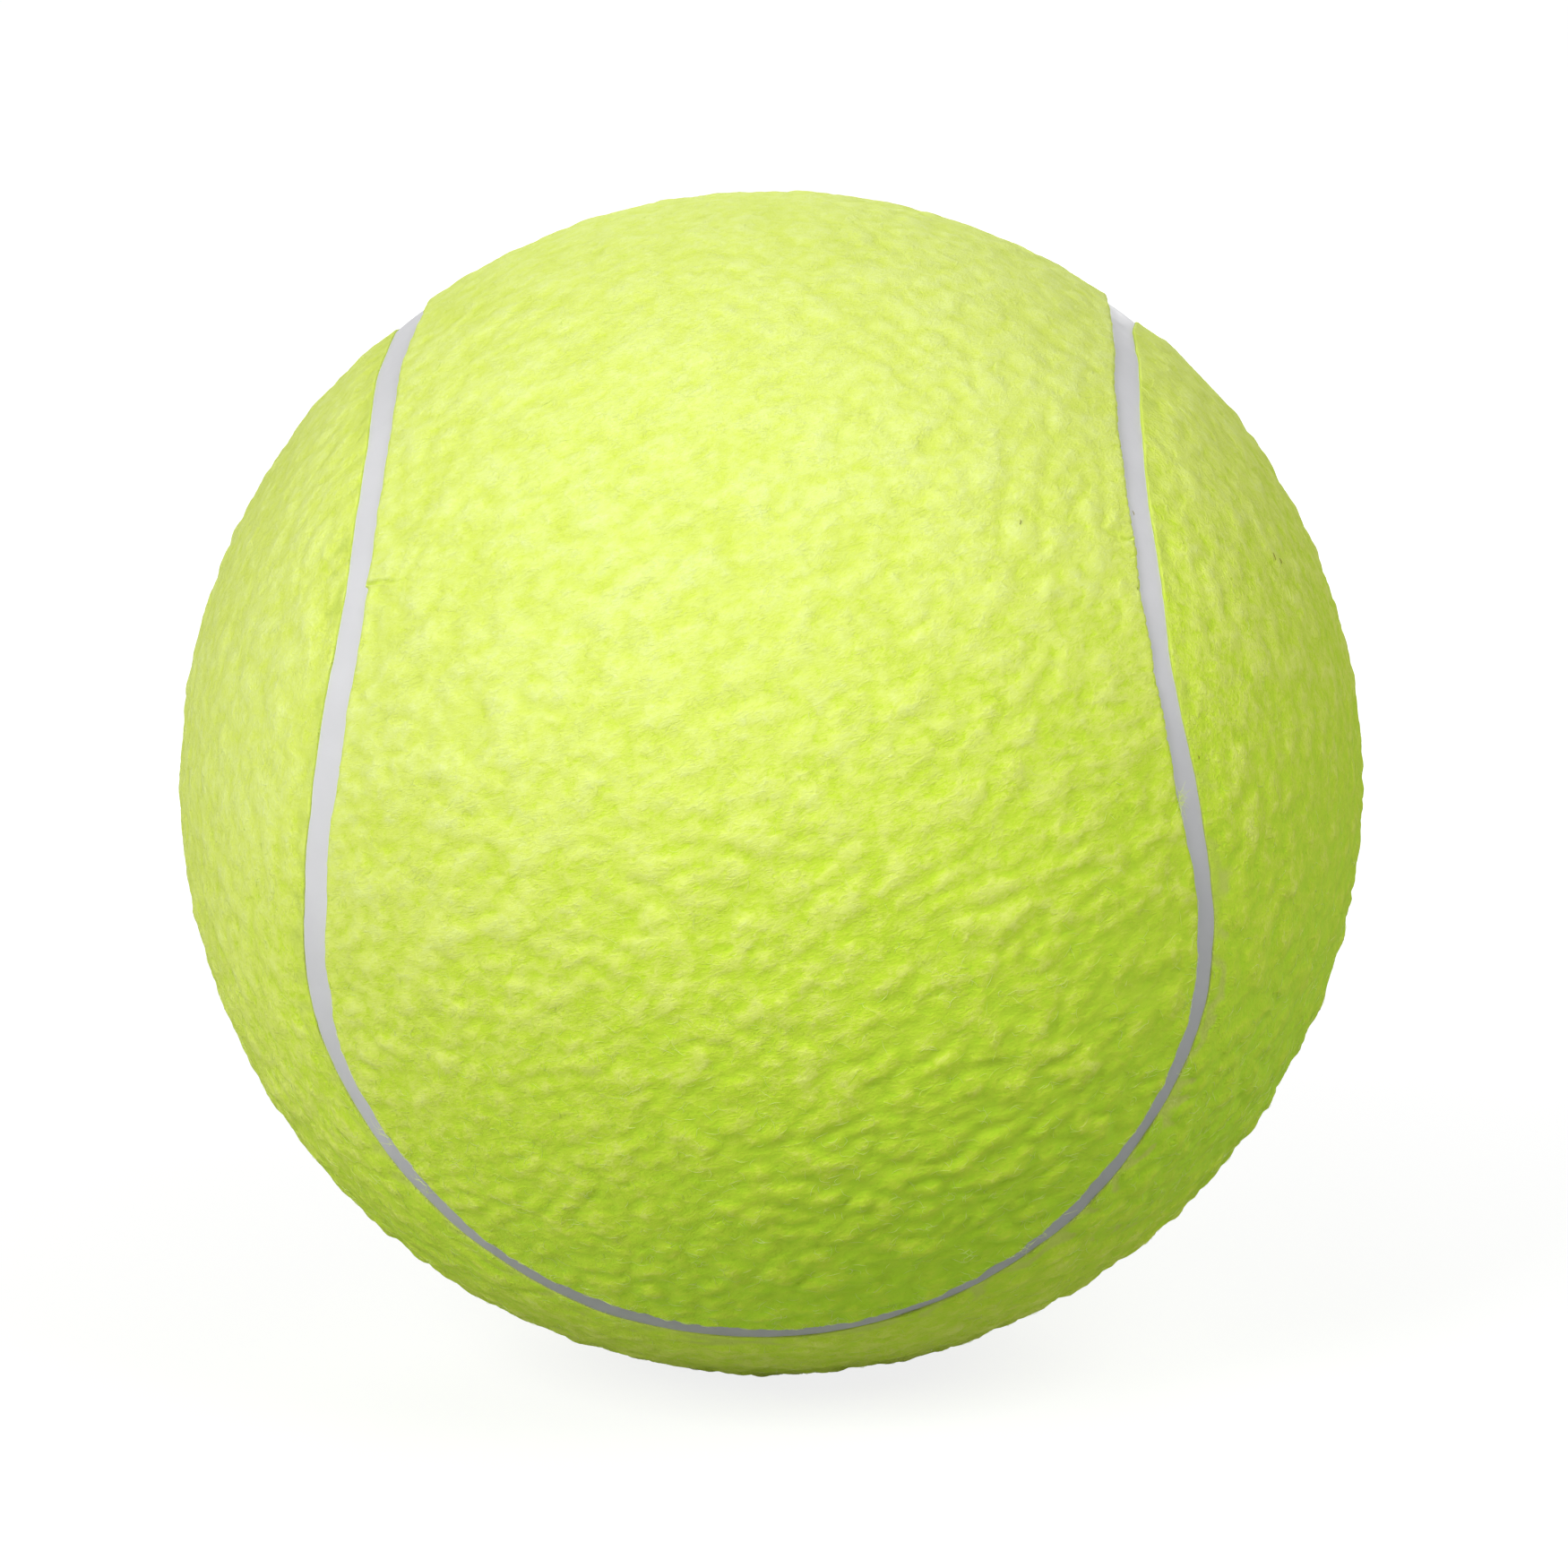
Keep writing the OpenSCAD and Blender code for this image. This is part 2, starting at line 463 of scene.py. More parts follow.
class Shader(NodeTree):
    """The node tree of one finish, on the piece's own coordinates."""

    def __init__(self, name: str) -> None:
        """Start an empty material of this name."""
        self.material = bpy.data.materials.new(name)
        self.material.use_nodes = True
        super().__init__(self.material.node_tree)
        self.place = self.add("ShaderNodeTexCoord").outputs["Object"]

    def stretched(self, nap: "Nap", power: float = 1.0) -> bpy.types.NodeSocket:
        """The piece's coordinates, squeezed so that a pattern lies along the nap.

        Args:
            nap: How the fibres lie.
            power: How often the squeeze is applied.

        Returns:
            The squeezed coordinates.
        """
        scale = tuple(part ** -power for part in nap.squeeze)
        inputs = {"Vector": self.place, "Rotation": nap.turn, "Scale": scale}
        return self.add("ShaderNodeMapping", inputs, vector_type="TEXTURE").outputs[0]

    def from_centre(self) -> bpy.types.NodeSocket:
        """Distance from the ball's centre, which is every piece's origin."""
        length = self.add("ShaderNodeVectorMath", {0: self.place}, operation="LENGTH")
        return length.outputs["Value"]

    def towards(self, way: Direction) -> bpy.types.NodeSocket:
        """How far places lie towards one side of the ball."""
        share = self.add("ShaderNodeVectorMath", {0: self.place, 1: way}, operation="DOT_PRODUCT")
        return share.outputs["Value"]

    def grain(self, scale: float, detail: float = 3.0, rough: float = 0.55, swirl: float = 0.0,
              place: bpy.types.NodeSocket | None = None) -> bpy.types.NodeSocket:
        """Cloudy noise, from 0 to 1.

        Args:
            scale: Patches in a metre.
            detail: Octaves of finer noise.
            rough: Strength of each finer octave.
            swirl: How far the pattern is warped.
            place: Coordinates to read instead of the piece's own.

        Returns:
            The noise's value.
        """
        inputs = {"Vector": place or self.place, "Scale": scale, "Detail": detail,
                  "Roughness": rough, "Distortion": swirl}
        return self.add("ShaderNodeTexNoise", inputs).outputs[0]

    def spread(self, value: bpy.types.NodeSocket, low: float, high: float, to_low: float = 0.0,
               to_high: float = 1.0) -> bpy.types.NodeSocket:
        """Map a value's range onto another one, held at both ends.

        Args:
            value: The value.
            low: Where its range begins.
            high: Where its range ends.
            to_low: The result at low.
            to_high: The result at high.

        Returns:
            The mapped value.
        """
        inputs = {"Value": value, "From Min": low, "From Max": high, "To Min": to_low,
                  "To Max": to_high}
        return self.add("ShaderNodeMapRange", inputs).outputs[0]

    def total(self, *parts: tuple[bpy.types.NodeSocket, float]) -> bpy.types.NodeSocket:
        """Add values up, each with its own weight.

        Args:
            parts: The values with their weights.

        Returns:
            The sum.
        """
        sums = [self.math("MULTIPLY", value, weight) for value, weight in parts]
        while len(sums) > 1:
            sums.append(self.math("ADD", sums.pop(0), sums.pop(0)))
        return sums[0]

    def mix(self, factor: Any, a: Any, b: Any) -> bpy.types.NodeSocket:
        """Blend two colours."""
        return self.add("ShaderNodeMix", {0: factor, 6: a, 7: b}, data_type="RGBA").outputs[2]

    def bump(self, height: Any, depth: float, strength: float = 1.0) -> bpy.types.NodeSocket:
        """Raise fine relief from a height of 0 to 1, depth metres high."""
        inputs = {"Height": height, "Distance": depth, "Strength": strength}
        return self.add("ShaderNodeBump", inputs).outputs[0]

    def surface(self, inputs: dict[str, Any]) -> bpy.types.Material:
        """Close the tree with a surface shader.

        Args:
            inputs: For each input of that shader, a socket or a value.

        Returns:
            The finished material.
        """
        shader = self.add("ShaderNodeBsdfPrincipled", inputs)
        self.add("ShaderNodeOutputMaterial", {"Surface": shader.outputs[0]})
        return self.material


def srgb(red: float, green: float, blue: float) -> Colour:
    """A colour in linear light.

    Args:
        red: Its red display value, from 0 to 255.
        green: Its green one.
        blue: Its blue one.

    Returns:
        The colour, with an alpha of 1.
    """
    def linear(value: float) -> float:
        """One display value in linear light."""
        part = value / 255.0
        return part / 12.92 if part <= 0.04045 else ((part + 0.055) / 1.055) ** 2.4
    return (linear(red), linear(green), linear(blue), 1.0)


@dataclass(frozen=True)
class Nap:
    """How a panel's brushed fibres lie.

    Attributes:
        squeeze: How much closer the pattern's bumps come along X, Y and Z.
        turn: Turn of those axes, in radians.
    """

    squeeze: Direction
    turn: Direction = (0.0, 0.0, 0.0)


@dataclass(frozen=True)
class NapPattern:
    """One size of the nap's bumps.

    Attributes:
        scale: Patches in a metre.
        detail: Octaves of finer noise.
        swirl: How far the pattern is warped.
        rough: Strength of each finer octave.
        span: The noise's values in the hollows and on the tops.
        tint: Its share in the colour.
        lift: Its share in the relief.
        combed: Whether it follows the nap strongly.
    """

    scale: float
    detail: float
    rough: float
    swirl: float
    span: tuple[float, float]
    tint: float
    lift: float
    combed: bool = False


TUFTED = NapPattern(310.0, 2.0, 0.5, 0.4, (0.32, 0.68), 0.24, 0.5)
CLUMPED = NapPattern(700.0, 3.0, 0.6, 0.5, (0.3, 0.7), 0.16, 0.32)
WOOLLY = NapPattern(1500.0, 2.0, 0.6, 0.8, (0.3, 0.7), 0.22, 0.32, combed=True)


@dataclass(frozen=True)
class FeltFinish:
    """Brushed optic-yellow felt: crumpled cloth with a nap of short curled fibres.

    Attributes:
        nap: How the fibres lie.
        valleys: Strength of the painted shade at the bottom of the crumples.
        depth: Height of the nap's tufts.
        border: How far below the face the cut edge begins, where the cloth is bare.
        under: Strength of the painted light from below, on the ball's underside.
        bare: Colour of the cut edge.
        deep: Colour between the fibres, and of the painted shade at the bottom of the crumples.
        crease: Paler painted shade at the bottom of the crumples, where the painted light falls.
        body: Colour of the nap.
        pale: Pale nap, and painted light on crumple tops, the upper left and the underside.
        bumps: The nap's patterns.
        crown: Height over and under the face within which crumple tops get a painted highlight.
        hollow: Depths between which the crumples take their painted shade.
        lit_side: The side towards which the colour is painted paler, as painted light.
        lit_reach: Where the painted light begins and where it's full, towards that side.
        underlight_reach: Heights at which the painted light from below begins and is full.
        body_tone: Tones at which the colour begins to leave deep and reaches body.
        pale_tone: Tones at which it begins to leave body and reaches pale.
        crown_light_tint: Share of the painted highlight on crumple tops in the tone.
        lit_tint: Share of the painted light in the tone.
        hair_tint: Share of single hairs in the tone.
        hair_lift: Share of single hairs in the relief.
        hair_width: Width of a hair, in steps of its noise.
        hair_scale: Curls of the hairs in a metre.
        hair_patches: Patches of hairs in a metre.
    """

    nap: Nap
    valleys: float = 0.6
    depth: float = 0.8 * MM
    border: float = 1.15 * MM
    under: float = 0.0
    bare: Colour = srgb(198, 218, 90)
    deep: Colour = srgb(176, 228, 10)
    crease: Colour = srgb(205, 225, 66)
    body: Colour = srgb(220, 238, 60)
    pale: Colour = srgb(239, 251, 169)
    bumps: tuple[NapPattern, ...] = (TUFTED, CLUMPED, WOOLLY)
    crown: float = 0.5 * MM
    hollow: tuple[float, float] = (0.9 * MM, 0.15 * MM)
    lit_side: Direction = (-0.4, 0.0, 0.9)
    lit_reach: tuple[float, float] = (-113 * MM, 55 * MM)
    underlight_reach: tuple[float, float] = (-50 * MM, -105 * MM)
    body_tone: tuple[float, float] = (0.36, 0.92)
    pale_tone: tuple[float, float] = (0.69, 1.45)
    crown_light_tint: float = 0.2
    lit_tint: float = 0.7
    hair_tint: float = 0.18
    hair_lift: float = 0.12
    hair_width: float = 0.035
    hair_scale: float = 520.0
    hair_patches: float = 240.0

    def hairs(self, s: Shader, place: bpy.types.NodeSocket) -> bpy.types.NodeSocket:
        """Thin curled lines of single hairs, which lie in patches.

        Args:
            s: The finish's shader.
            place: Coordinates combed along the nap.

        Returns:
            1 on a hair and 0 beside it.
        """
        curls = s.grain(self.hair_scale, 1.0, 0.5, 0.6, place)
        level = s.math("ABSOLUTE", s.math("SUBTRACT", curls, 0.5))
        patches = s.spread(s.grain(self.hair_patches, 1.0), 0.42, 0.62)
        return s.math("MULTIPLY", s.spread(level, 0.0, self.hair_width, 1.0, 0.0), patches)

    def painted_light(self, s: Shader) -> bpy.types.NodeSocket:
        """How much painted light the nap gets, towards its upper left and from below.

        Args:
            s: The finish's shader.

        Returns:
            The painted light's share, from 0 to 1.
        """
        # Painted light from below: the underside is painted paler.
        underlight_share = s.spread(s.towards((0.0, 0.0, 1.0)), *self.underlight_reach, 0.0, self.under)
        # Painted light: the nap is painted paler towards the upper left.
        return s.math("MAXIMUM", s.spread(s.towards(self.lit_side), *self.lit_reach), underlight_share)

    def material(self, name: str) -> bpy.types.Material:
        """Make the felt's material.

        Args:
            name: What it is called.

        Returns:
            The material.
        """
        s = Shader(name)
        brushed, combed = s.stretched(self.nap), s.stretched(self.nap, 3.0)
        face, radius = SIZES.radius, s.from_centre()
        # Painted highlight: the tops of the crumples are painted paler.
        crown_light = s.spread(radius, face - self.crown, face + self.crown)
        # Painted shade: the bottom of the crumples is painted a deeper colour.
        crease_shade = s.spread(radius, face - self.hollow[0], face - self.hollow[1], self.valleys, 0.0)
        # worn is the share of painted light, towards the upper left and underneath.
        worn, hairs = self.painted_light(s), self.hairs(s, combed)
        noises = [s.grain(x.scale, x.detail, x.rough, x.swirl, combed if x.combed else brushed)
                  for x in self.bumps]
        tints = [(s.spread(value, *x.span), x.tint) for value, x in zip(noises, self.bumps)]
        # The tone mixes the nap's random tones with the painted highlight and the painted light.
        tone = s.total((crown_light, self.crown_light_tint), *tints, (hairs, self.hair_tint),
                       (worn, self.lit_tint))
        cloth = s.mix(s.spread(tone, *self.body_tone), self.deep, self.body)
        brush = s.mix(s.spread(tone, *self.pale_tone), cloth, self.pale)
        # The painted shade in the crumples is paler where the painted light falls.
        colour = s.mix(crease_shade, brush, s.mix(worn, self.deep, self.crease))
        cut = s.spread(radius, face - self.border - 0.2 * MM, face - self.border, 1.0, 0.0)
        lifts = [(value, x.lift) for value, x in zip(noises, self.bumps)]
        relief = s.bump(s.total(*lifts, (hairs, self.hair_lift)), self.depth, strength=0.75)
        return s.surface({"Base Color": s.mix(cut, colour, self.bare), "Roughness": 0.8,
                          "Specular IOR Level": 0.06, "Sheen Weight": 0.35,
                          "Sheen Roughness": 0.9, "Sheen Tint": (0.84, 1.0, 0.24, 1.0),
                          "Normal": relief})


@dataclass(frozen=True)
class RubberFinish:
    """Moulded rubber with fine pitting, slight mottling and a satin or dull skin.

    Attributes:
        colour: Its main colour.
        mottle: Colour of its mottling, and of its painted shade towards its lower right.
        roughness: Middle roughness of its skin.
        mirror: How much it mirrors.
        painted_shade: Whether it is painted darker towards its lower right, as painted shade.
        unshaded_side: The side towards which the painted shade fades out.
        shade_reach: Where the painted shade begins and where it's full, towards that side.
        clouds_scale: Patches of its mottling in a metre.
        dents_scale: Shallow dents in a metre.
        pits_scale: Pits in a metre.
        depth: Depth of its pits and dents.
    """

    colour: Colour
    mottle: Colour
    roughness: float = 0.5
    mirror: float = 0.4
    painted_shade: bool = False
    unshaded_side: Direction = (-0.3, 0.0, 1.0)
    shade_reach: tuple[float, float] = (22 * MM, -74 * MM)
    clouds_scale: float = 60.0
    dents_scale: float = 140.0
    pits_scale: float = 300.0
    depth: float = 0.24 * MM

    def material(self, name: str) -> bpy.types.Material:
        """Make the rubber's material.

        Args:
            name: What it is called.

        Returns:
            The material.
        """
        s = Shader(name)
        pits = s.grain(self.pits_scale, 4.0, 0.6)
        share = s.spread(s.grain(self.clouds_scale, 3.0), 0.35, 0.7)
        # Painted shade: the rubber is painted darker towards the ball's lower right.
        if self.painted_shade:
            dull = s.spread(s.towards(self.unshaded_side), *self.shade_reach)
            share = s.total((dull, 0.9), (share, 0.1))
        rough = s.spread(pits, 0.3, 0.7, self.roughness - 0.08, self.roughness + 0.12)
        relief = s.total((s.grain(self.dents_scale, 1.0), 0.7), (pits, 0.3))
        return s.surface({"Base Color": s.mix(share, self.colour, self.mottle),
                          "Roughness": rough, "Specular IOR Level": self.mirror,
                          "Normal": s.bump(relief, self.depth)})


@dataclass(frozen=True)
class FibreFinish:
    """Single fibres, paler than the cloth that they come out of."""

    low: Colour = srgb(218, 240, 98)
    high: Colour = srgb(244, 254, 168)

    def material(self, name: str) -> bpy.types.Material:
        """Make the fibres' material.

        Args:
            name: What it is called.

        Returns:
            The material.
        """
        s = Shader(name)
        colour = s.mix(s.spread(s.grain(150.0, 2.0), 0.35, 0.65), self.low, self.high)
        return s.surface({"Base Color": colour, "Roughness": 0.45, "Specular IOR Level": 0.5})


FELTS = {
    Panel.A: FeltFinish(Nap((1.0, 1.0, 1.45), (0.0, math.radians(-24.0), 0.0))),
    # Panel B's underside gets painted light from below.
    Panel.B: FeltFinish(Nap((1.0, 1.2, 1.0)), valleys=0.3, depth=0.95 * MM, border=0.78 * MM,
                        under=0.6),
}
# The seam's rubber carries painted shade towards the ball's lower right.
SEAM_GREY = RubberFinish(srgb(222, 222, 225), srgb(167, 169, 172), 0.55, 0.12, painted_shade=True)
LINT_BROWN = RubberFinish(srgb(138, 128, 44), srgb(104, 88, 44), 0.8, 0.1)
BLACK_RUBBER = RubberFinish(srgb(28, 28, 30), srgb(40, 40, 42), 0.45)
GREY_RUBBER = RubberFinish(srgb(150, 150, 152), srgb(168, 168, 168), 0.6)
AMBER_CEMENT = RubberFinish(srgb(205, 186, 130), srgb(224, 208, 160), 0.35)
INSIDE = {"bladder": BLACK_RUBBER, "valve_seat": BLACK_RUBBER, "valve_plug": BLACK_RUBBER,
          "carcass": GREY_RUBBER, "cement_a": AMBER_CEMENT, "cement_b": AMBER_CEMENT}


# ---- pieces


@dataclass(frozen=True)
class Slit:
    """A relief slit, cut from the concave edge of panel A's waist so that it lies flat.

    Attributes:
        mouth: Direction of its open end, at the seam.
        tip: Direction of its other end.
        lip: How far the felt above the slit stands out over the seam.
        gape: Half its width at the mouth.
        overrun: How far its line runs out past the felt's edge.
        finer: How far round it the cloth gets finer faces.
        sway: How far its line sways.
        steepness: Its depth, as a multiple of gape.
        taper: Share of its width that it loses towards the tip.
    """

    mouth: Direction
    tip: Direction
    lip: float
    gape: float = 0.45 * MM
    overrun: float = 2.0 * MM
    finer: float = 2.0 * MM
    sway: float = 1.0 * MM
    steepness: float = 2.4
    taper: float = 0.4

    def line(self) -> tuple[np.ndarray, np.ndarray]:
        """The slit's ends on the ball, the open one moved out past the felt's edge.

        Returns:
            The place of the mouth and that of the tip.
        """
        mouth, tip = on_face(self.mouth), on_face(self.tip)
        return mouth + (mouth - tip) / np.linalg.norm(mouth - tip) * self.overrun, tip


SLITS = (
    Slit((-0.610, -0.654, 0.447), (-0.532, -0.705, 0.468), 0.9 * MM),
    Slit((0.608, -0.612, 0.506), (0.568, -0.639, 0.519), 0.25 * MM, 0.35 * MM),
    Slit((-0.605, 0.640, 0.474), (-0.545, 0.684, 0.485), 0.4 * MM),
    Slit((0.607, 0.630, 0.484), (0.549, 0.672, 0.497), 0.3 * MM),
)


@dataclass(frozen=True)
class Tuft:
    """Fibres pulled out of a felt edge, over the seam.

    Attributes:
        panel: The panel that they come out of.
        at: Direction of the place.
        fibres: How many there are.
        reach: How far they stand out.
        spread: How far they spread along the edge.
    """

    panel: Panel
    at: Direction
    fibres: int
    reach: float
    spread: float


TUFTS = (
    Tuft(Panel.A, (0.673, -0.733, 0.100), 26, 3.2 * MM, 0.9 * MM),
    Tuft(Panel.A, (-0.613, -0.646, -0.456), 9, 4.0 * MM, 1.6 * MM),
    Tuft(Panel.A, (-0.552, -0.626, -0.550), 8, 4.0 * MM, 1.6 * MM),
    Tuft(Panel.B, (-0.20, -0.70, -0.69), 7, 3.5 * MM, 2.0 * MM),
    Tuft(Panel.A, (0.45, -0.62, -0.64), 12, 3.5 * MM, 4.0 * MM),
    Tuft(Panel.B, (0.60, -0.70, -0.35), 8, 3.0 * MM, 3.0 * MM),
    Tuft(Panel.A, (0.52, 0.66, -0.54), 10, 3.5 * MM, 2.0 * MM),
    Tuft(Panel.B, (-0.62, 0.72, -0.30), 10, 3.0 * MM, 2.0 * MM),
)


@dataclass(frozen=True)
class Fold:
    """The long fold down the front of panel A, where the cloth was folded in store.

    Attributes:
        corners: Directions of its corners, from the top.
        zone: How far from the ball's middle plane it may lie.
        sway: How far its line sways between the corners.
        depth: Its mean depth, in millimetres.
        uneven: How much that depth varies, in millimetres.
        width: Its width.
    """

    corners: tuple[Direction, ...] = (
        (-0.031, -0.715, 0.698), (-0.026, -0.801, 0.598), (-0.017, -0.869, 0.495),
        (-0.020, -0.920, 0.391), (-0.011, -0.958, 0.286), (-0.001, -0.989, 0.151))
    zone: float = 14 * MM
    sway: float = 1.6 * MM
    depth: float = 0.2
    uneven: float = 0.35
    width: float = 1.0 * MM

    def press(self, band: np.ndarray) -> np.ndarray:
        """Press the fold in.

        Args:
            band: Places on the front of panel A, one row each.

        Returns:
            The same places, moved inwards in the fold.
        """
        path = [on_face(corner) for corner in self.corners]
        bent = band + np.array([[1.0, 0.0, 0.0]]) * (self.sway * cloud(band, 90.0, 9.0))[:, None]
        distance = np.min([beside(bent, a, b)[0] for a, b in zip(path, path[1:])], axis=0)
        depth = (self.depth + self.uneven * cloud(band, 70.0, 2.0)) * MM
        depth *= np.exp(-(distance / self.width) ** 2)
        return band * (1.0 - depth / SIZES.radius)[:, None]


@dataclass(frozen=True)
class Crease:
    """One layer of the felt's relief.

    Attributes:
        name: What it is called.
        group: The points that it moves: everywhere, or less where the cloth has shrunk less.
        strength: Its full height.
        scale: How far its bumps lie apart.
        noise: Round bumps on both sides, or puffs with thin valleys between them.
        middle: The height that stays where it is.
        octaves: How often finer bumps are added.
    """

    name: str
    group: str
    strength: float
    scale: float
    noise: str = "HARD_NOISE"
    middle: float = 0.35
    octaves: int = 1


CREASES = (
    Crease("swells", "everywhere", 0.5 * MM, 18 * MM, "SOFT_NOISE", 0.5, 2),
    Crease("wrinkles", "everywhere", 0.35 * MM, 15 * MM),
    Crease("puckers", "creased", 2.05 * MM, 8.3 * MM),
    Crease("lumps", "creased", 1.0 * MM, 4.2 * MM),
)

# How far each ring of a panel's rounded edge stands out from the cut sheet and how far it
# lies below the felt's face, in millimetres.
EDGES = {
    Panel.A: ((0.37, 0.06), (0.71, 0.23), (0.97, 0.49), (1.14, 0.83), (1.2, 1.2)),
    Panel.B: ((0.25, 0.02), (0.42, 0.08), (0.52, 0.16), (0.58, 0.24), (0.6, 0.34)),
}


@dataclass(frozen=True)
class EdgeCut:
    """How raggedly a panel's edge is cut.

    Attributes:
        wave: Height of its small waves, in millimetres.
        tooth: Height of its teeth, in millimetres.
        own: A number that gives each panel a pattern of its own.
        wave_scale: Waves in a metre.
        tooth_scale: Teeth in a metre.
    """

    wave: float
    tooth: float
    own: float
    wave_scale: float = 120.0
    tooth_scale: float = 380.0

    def ragged(self, band: np.ndarray) -> np.ndarray:
        """How far the cut runs off its line beside each place, towards panel B."""
        wave, tooth = (cloud(band, x, self.own) for x in (self.wave_scale, self.tooth_scale))
        return (self.wave * wave + self.tooth * tooth) * MM


EDGE_CUTS = {Panel.A: EdgeCut(0.45, 0.22, 31.0), Panel.B: EdgeCut(0.3, 0.12, 77.0)}


@dataclass
class FeltPanel:
    """One dumbbell of felt, glued on and stretched round half the ball.

    Panel B's border is pressed thin, so that its face comes down to the seam as a gentle
    ramp.

    Attributes:
        panel: Which of the two panels it is.
        course: Course of the seam that it ends at.
        finish: Its felt.
        level: How often the sphere that it's cut from is subdivided.
        cut_zone: How near a cut the faces lie that it may go through.
        hem: Width of the strip that the edge turns in under the cloth.
        laid: Distance from the edge over which the whole cloth follows its wander.
        frayed: Distance from the edge over which the cut's waves and teeth fade out.
        nicks: Where a worn die left nicks, along the seam.
        nick_step: How far apart these lie.
        nick_depth: How deep they are.
        lip_zone: How far round a slit's mouth its lip may reach.
        edge_drop: Depth below the face at which the crumples have faded out.
        edge_calm: Share of the crumples that is left at the edge.
        edge_width: Distance from the edge at which the crumples are whole.
        top_calm: Share of the crumples that the top of the ball lacks.
        less_shrunk: Share of the deeper crumples that the upper half has.
        left_shrunk: Share of the others that the lower half has on its left.
        thin_calm: Share of the crumples that panel B has.
        ramp: Width of panel B's thin border, and how far it comes down.
    """

    panel: Panel
    course: SeamCourse
    finish: FeltFinish
    level: int = 8
    cut_zone: float = 3 * MM
    hem: float = 2.0 * MM
    laid: float = 20 * MM
    frayed: float = 4 * MM
    nicks: tuple[float, float] = (160 * MM, 285 * MM)
    nick_step: float = 2.2 * MM
    nick_depth: float = 0.3 * MM
    lip_zone: float = 15 * MM
    edge_drop: float = 0.9 * MM
    edge_calm: float = 0.4
    edge_width: float = 5 * MM
    top_calm: float = 0.25
    less_shrunk: float = 0.5
    left_shrunk: float = 0.36
    thin_calm: float = 0.9
    ramp: tuple[float, float] = (9.0 * MM, 0.7 * MM)

    @property
    def shoulder(self) -> float:
        """Width of the rounded edge."""
        return EDGES[self.panel][-1][0] * MM

    @property
    def rim(self) -> float:
        """Angle between the seam's centre line and the edge of the cut sheet."""
        return (SIZES.half_gap + self.shoulder) / SIZES.radius

    @property
    def hole(self) -> float:
        """Radius of the hole over the valve in the cut sheet."""
        return SIZES.felt_hole + 0.5 * self.shoulder

    def edge_angle(self, lobe: Lobe) -> float:
        """Angle from a lobe's axis to the edge of this panel's cut sheet."""
        return self.course.arc + (-self.rim if lobe.panel is self.panel else self.rim)

    def sheet(self) -> bpy.types.Object:
        """Cut the panel's upper face out of a fine sphere along the seam's arcs.

        Returns:
            The flat-edged sheet.
        """
        bpy.ops.object.select_all(action="DESELECT")
        bpy.ops.mesh.primitive_ico_sphere_add(subdivisions=self.level, radius=SIZES.radius)
        obj = bpy.context.object
        pick(obj, np.abs(face_centres(obj)[:, 2]) < self.cut_zone)
        bpy.ops.mesh.bisect(plane_co=(0, 0, 0), plane_no=(0, 0, 1))
        for lobe in self.course.lobes:
            angle = self.edge_angle(lobe)
            centres = face_centres(obj)
            off = np.arccos(np.clip(units(centres) @ np.array(lobe.axis), -1, 1)) - angle
            near = np.abs(off) * SIZES.radius < self.cut_zone
            pick(obj, near & ((centres[:, 2] < 0) == lobe.below))
            bpy.ops.mesh.bisect(plane_co=Vector(lobe.axis) * SIZES.radius * math.cos(angle),
                                plane_no=lobe.axis)
        across, _ = self.course.measure(face_centres(obj))
        side = -1.0 if self.panel is Panel.A else 1.0
        pick(obj, across * side < SIZES.half_gap + self.shoulder)
        bpy.ops.mesh.delete(type="FACE")
        if self.panel is Panel.A:
            self.punch(obj)
        bpy.ops.object.mode_set(mode="OBJECT")
        return obj

    def punch(self, obj: bpy.types.Object) -> None:
        """Punch the hole over the valve, with its edge ready to be turned down.

        Args:
            obj: The sheet.
        """
        finer, gone = {"number_cuts": 1}, {"type": "FACE"}
        for limit, operator, options in ((3 * self.hole, bpy.ops.mesh.subdivide, finer),
                                         (self.hole, bpy.ops.mesh.delete, gone)):
            centres = face_centres(obj)
            pick(obj, (np.hypot(centres[:, 0], centres[:, 2]) < limit) & (centres[:, 1] > 0))
            operator(**options)

    def turn_rim(self, obj: bpy.types.Object) -> None:
        """Round the cut edge over and run it down to the rubber.

        Args:
            obj: The sheet.
        """
        pick_rim(obj)
        bpy.ops.mesh.subdivide(number_cuts=1)
        self.place_rim(obj, selected_points(obj), 0.0, SIZES.radius)
        rings = [(outset * MM, SIZES.radius - drop * MM) for outset, drop in EDGES[self.panel]]
        rings += [(self.shoulder, SIZES.felt_back), (-self.hem, SIZES.felt_back)]
        for outset, radius in rings:
            pick_rim(obj)
            bpy.ops.mesh.extrude_edges_indiv()
            self.place_rim(obj, selected_points(obj), outset, radius)

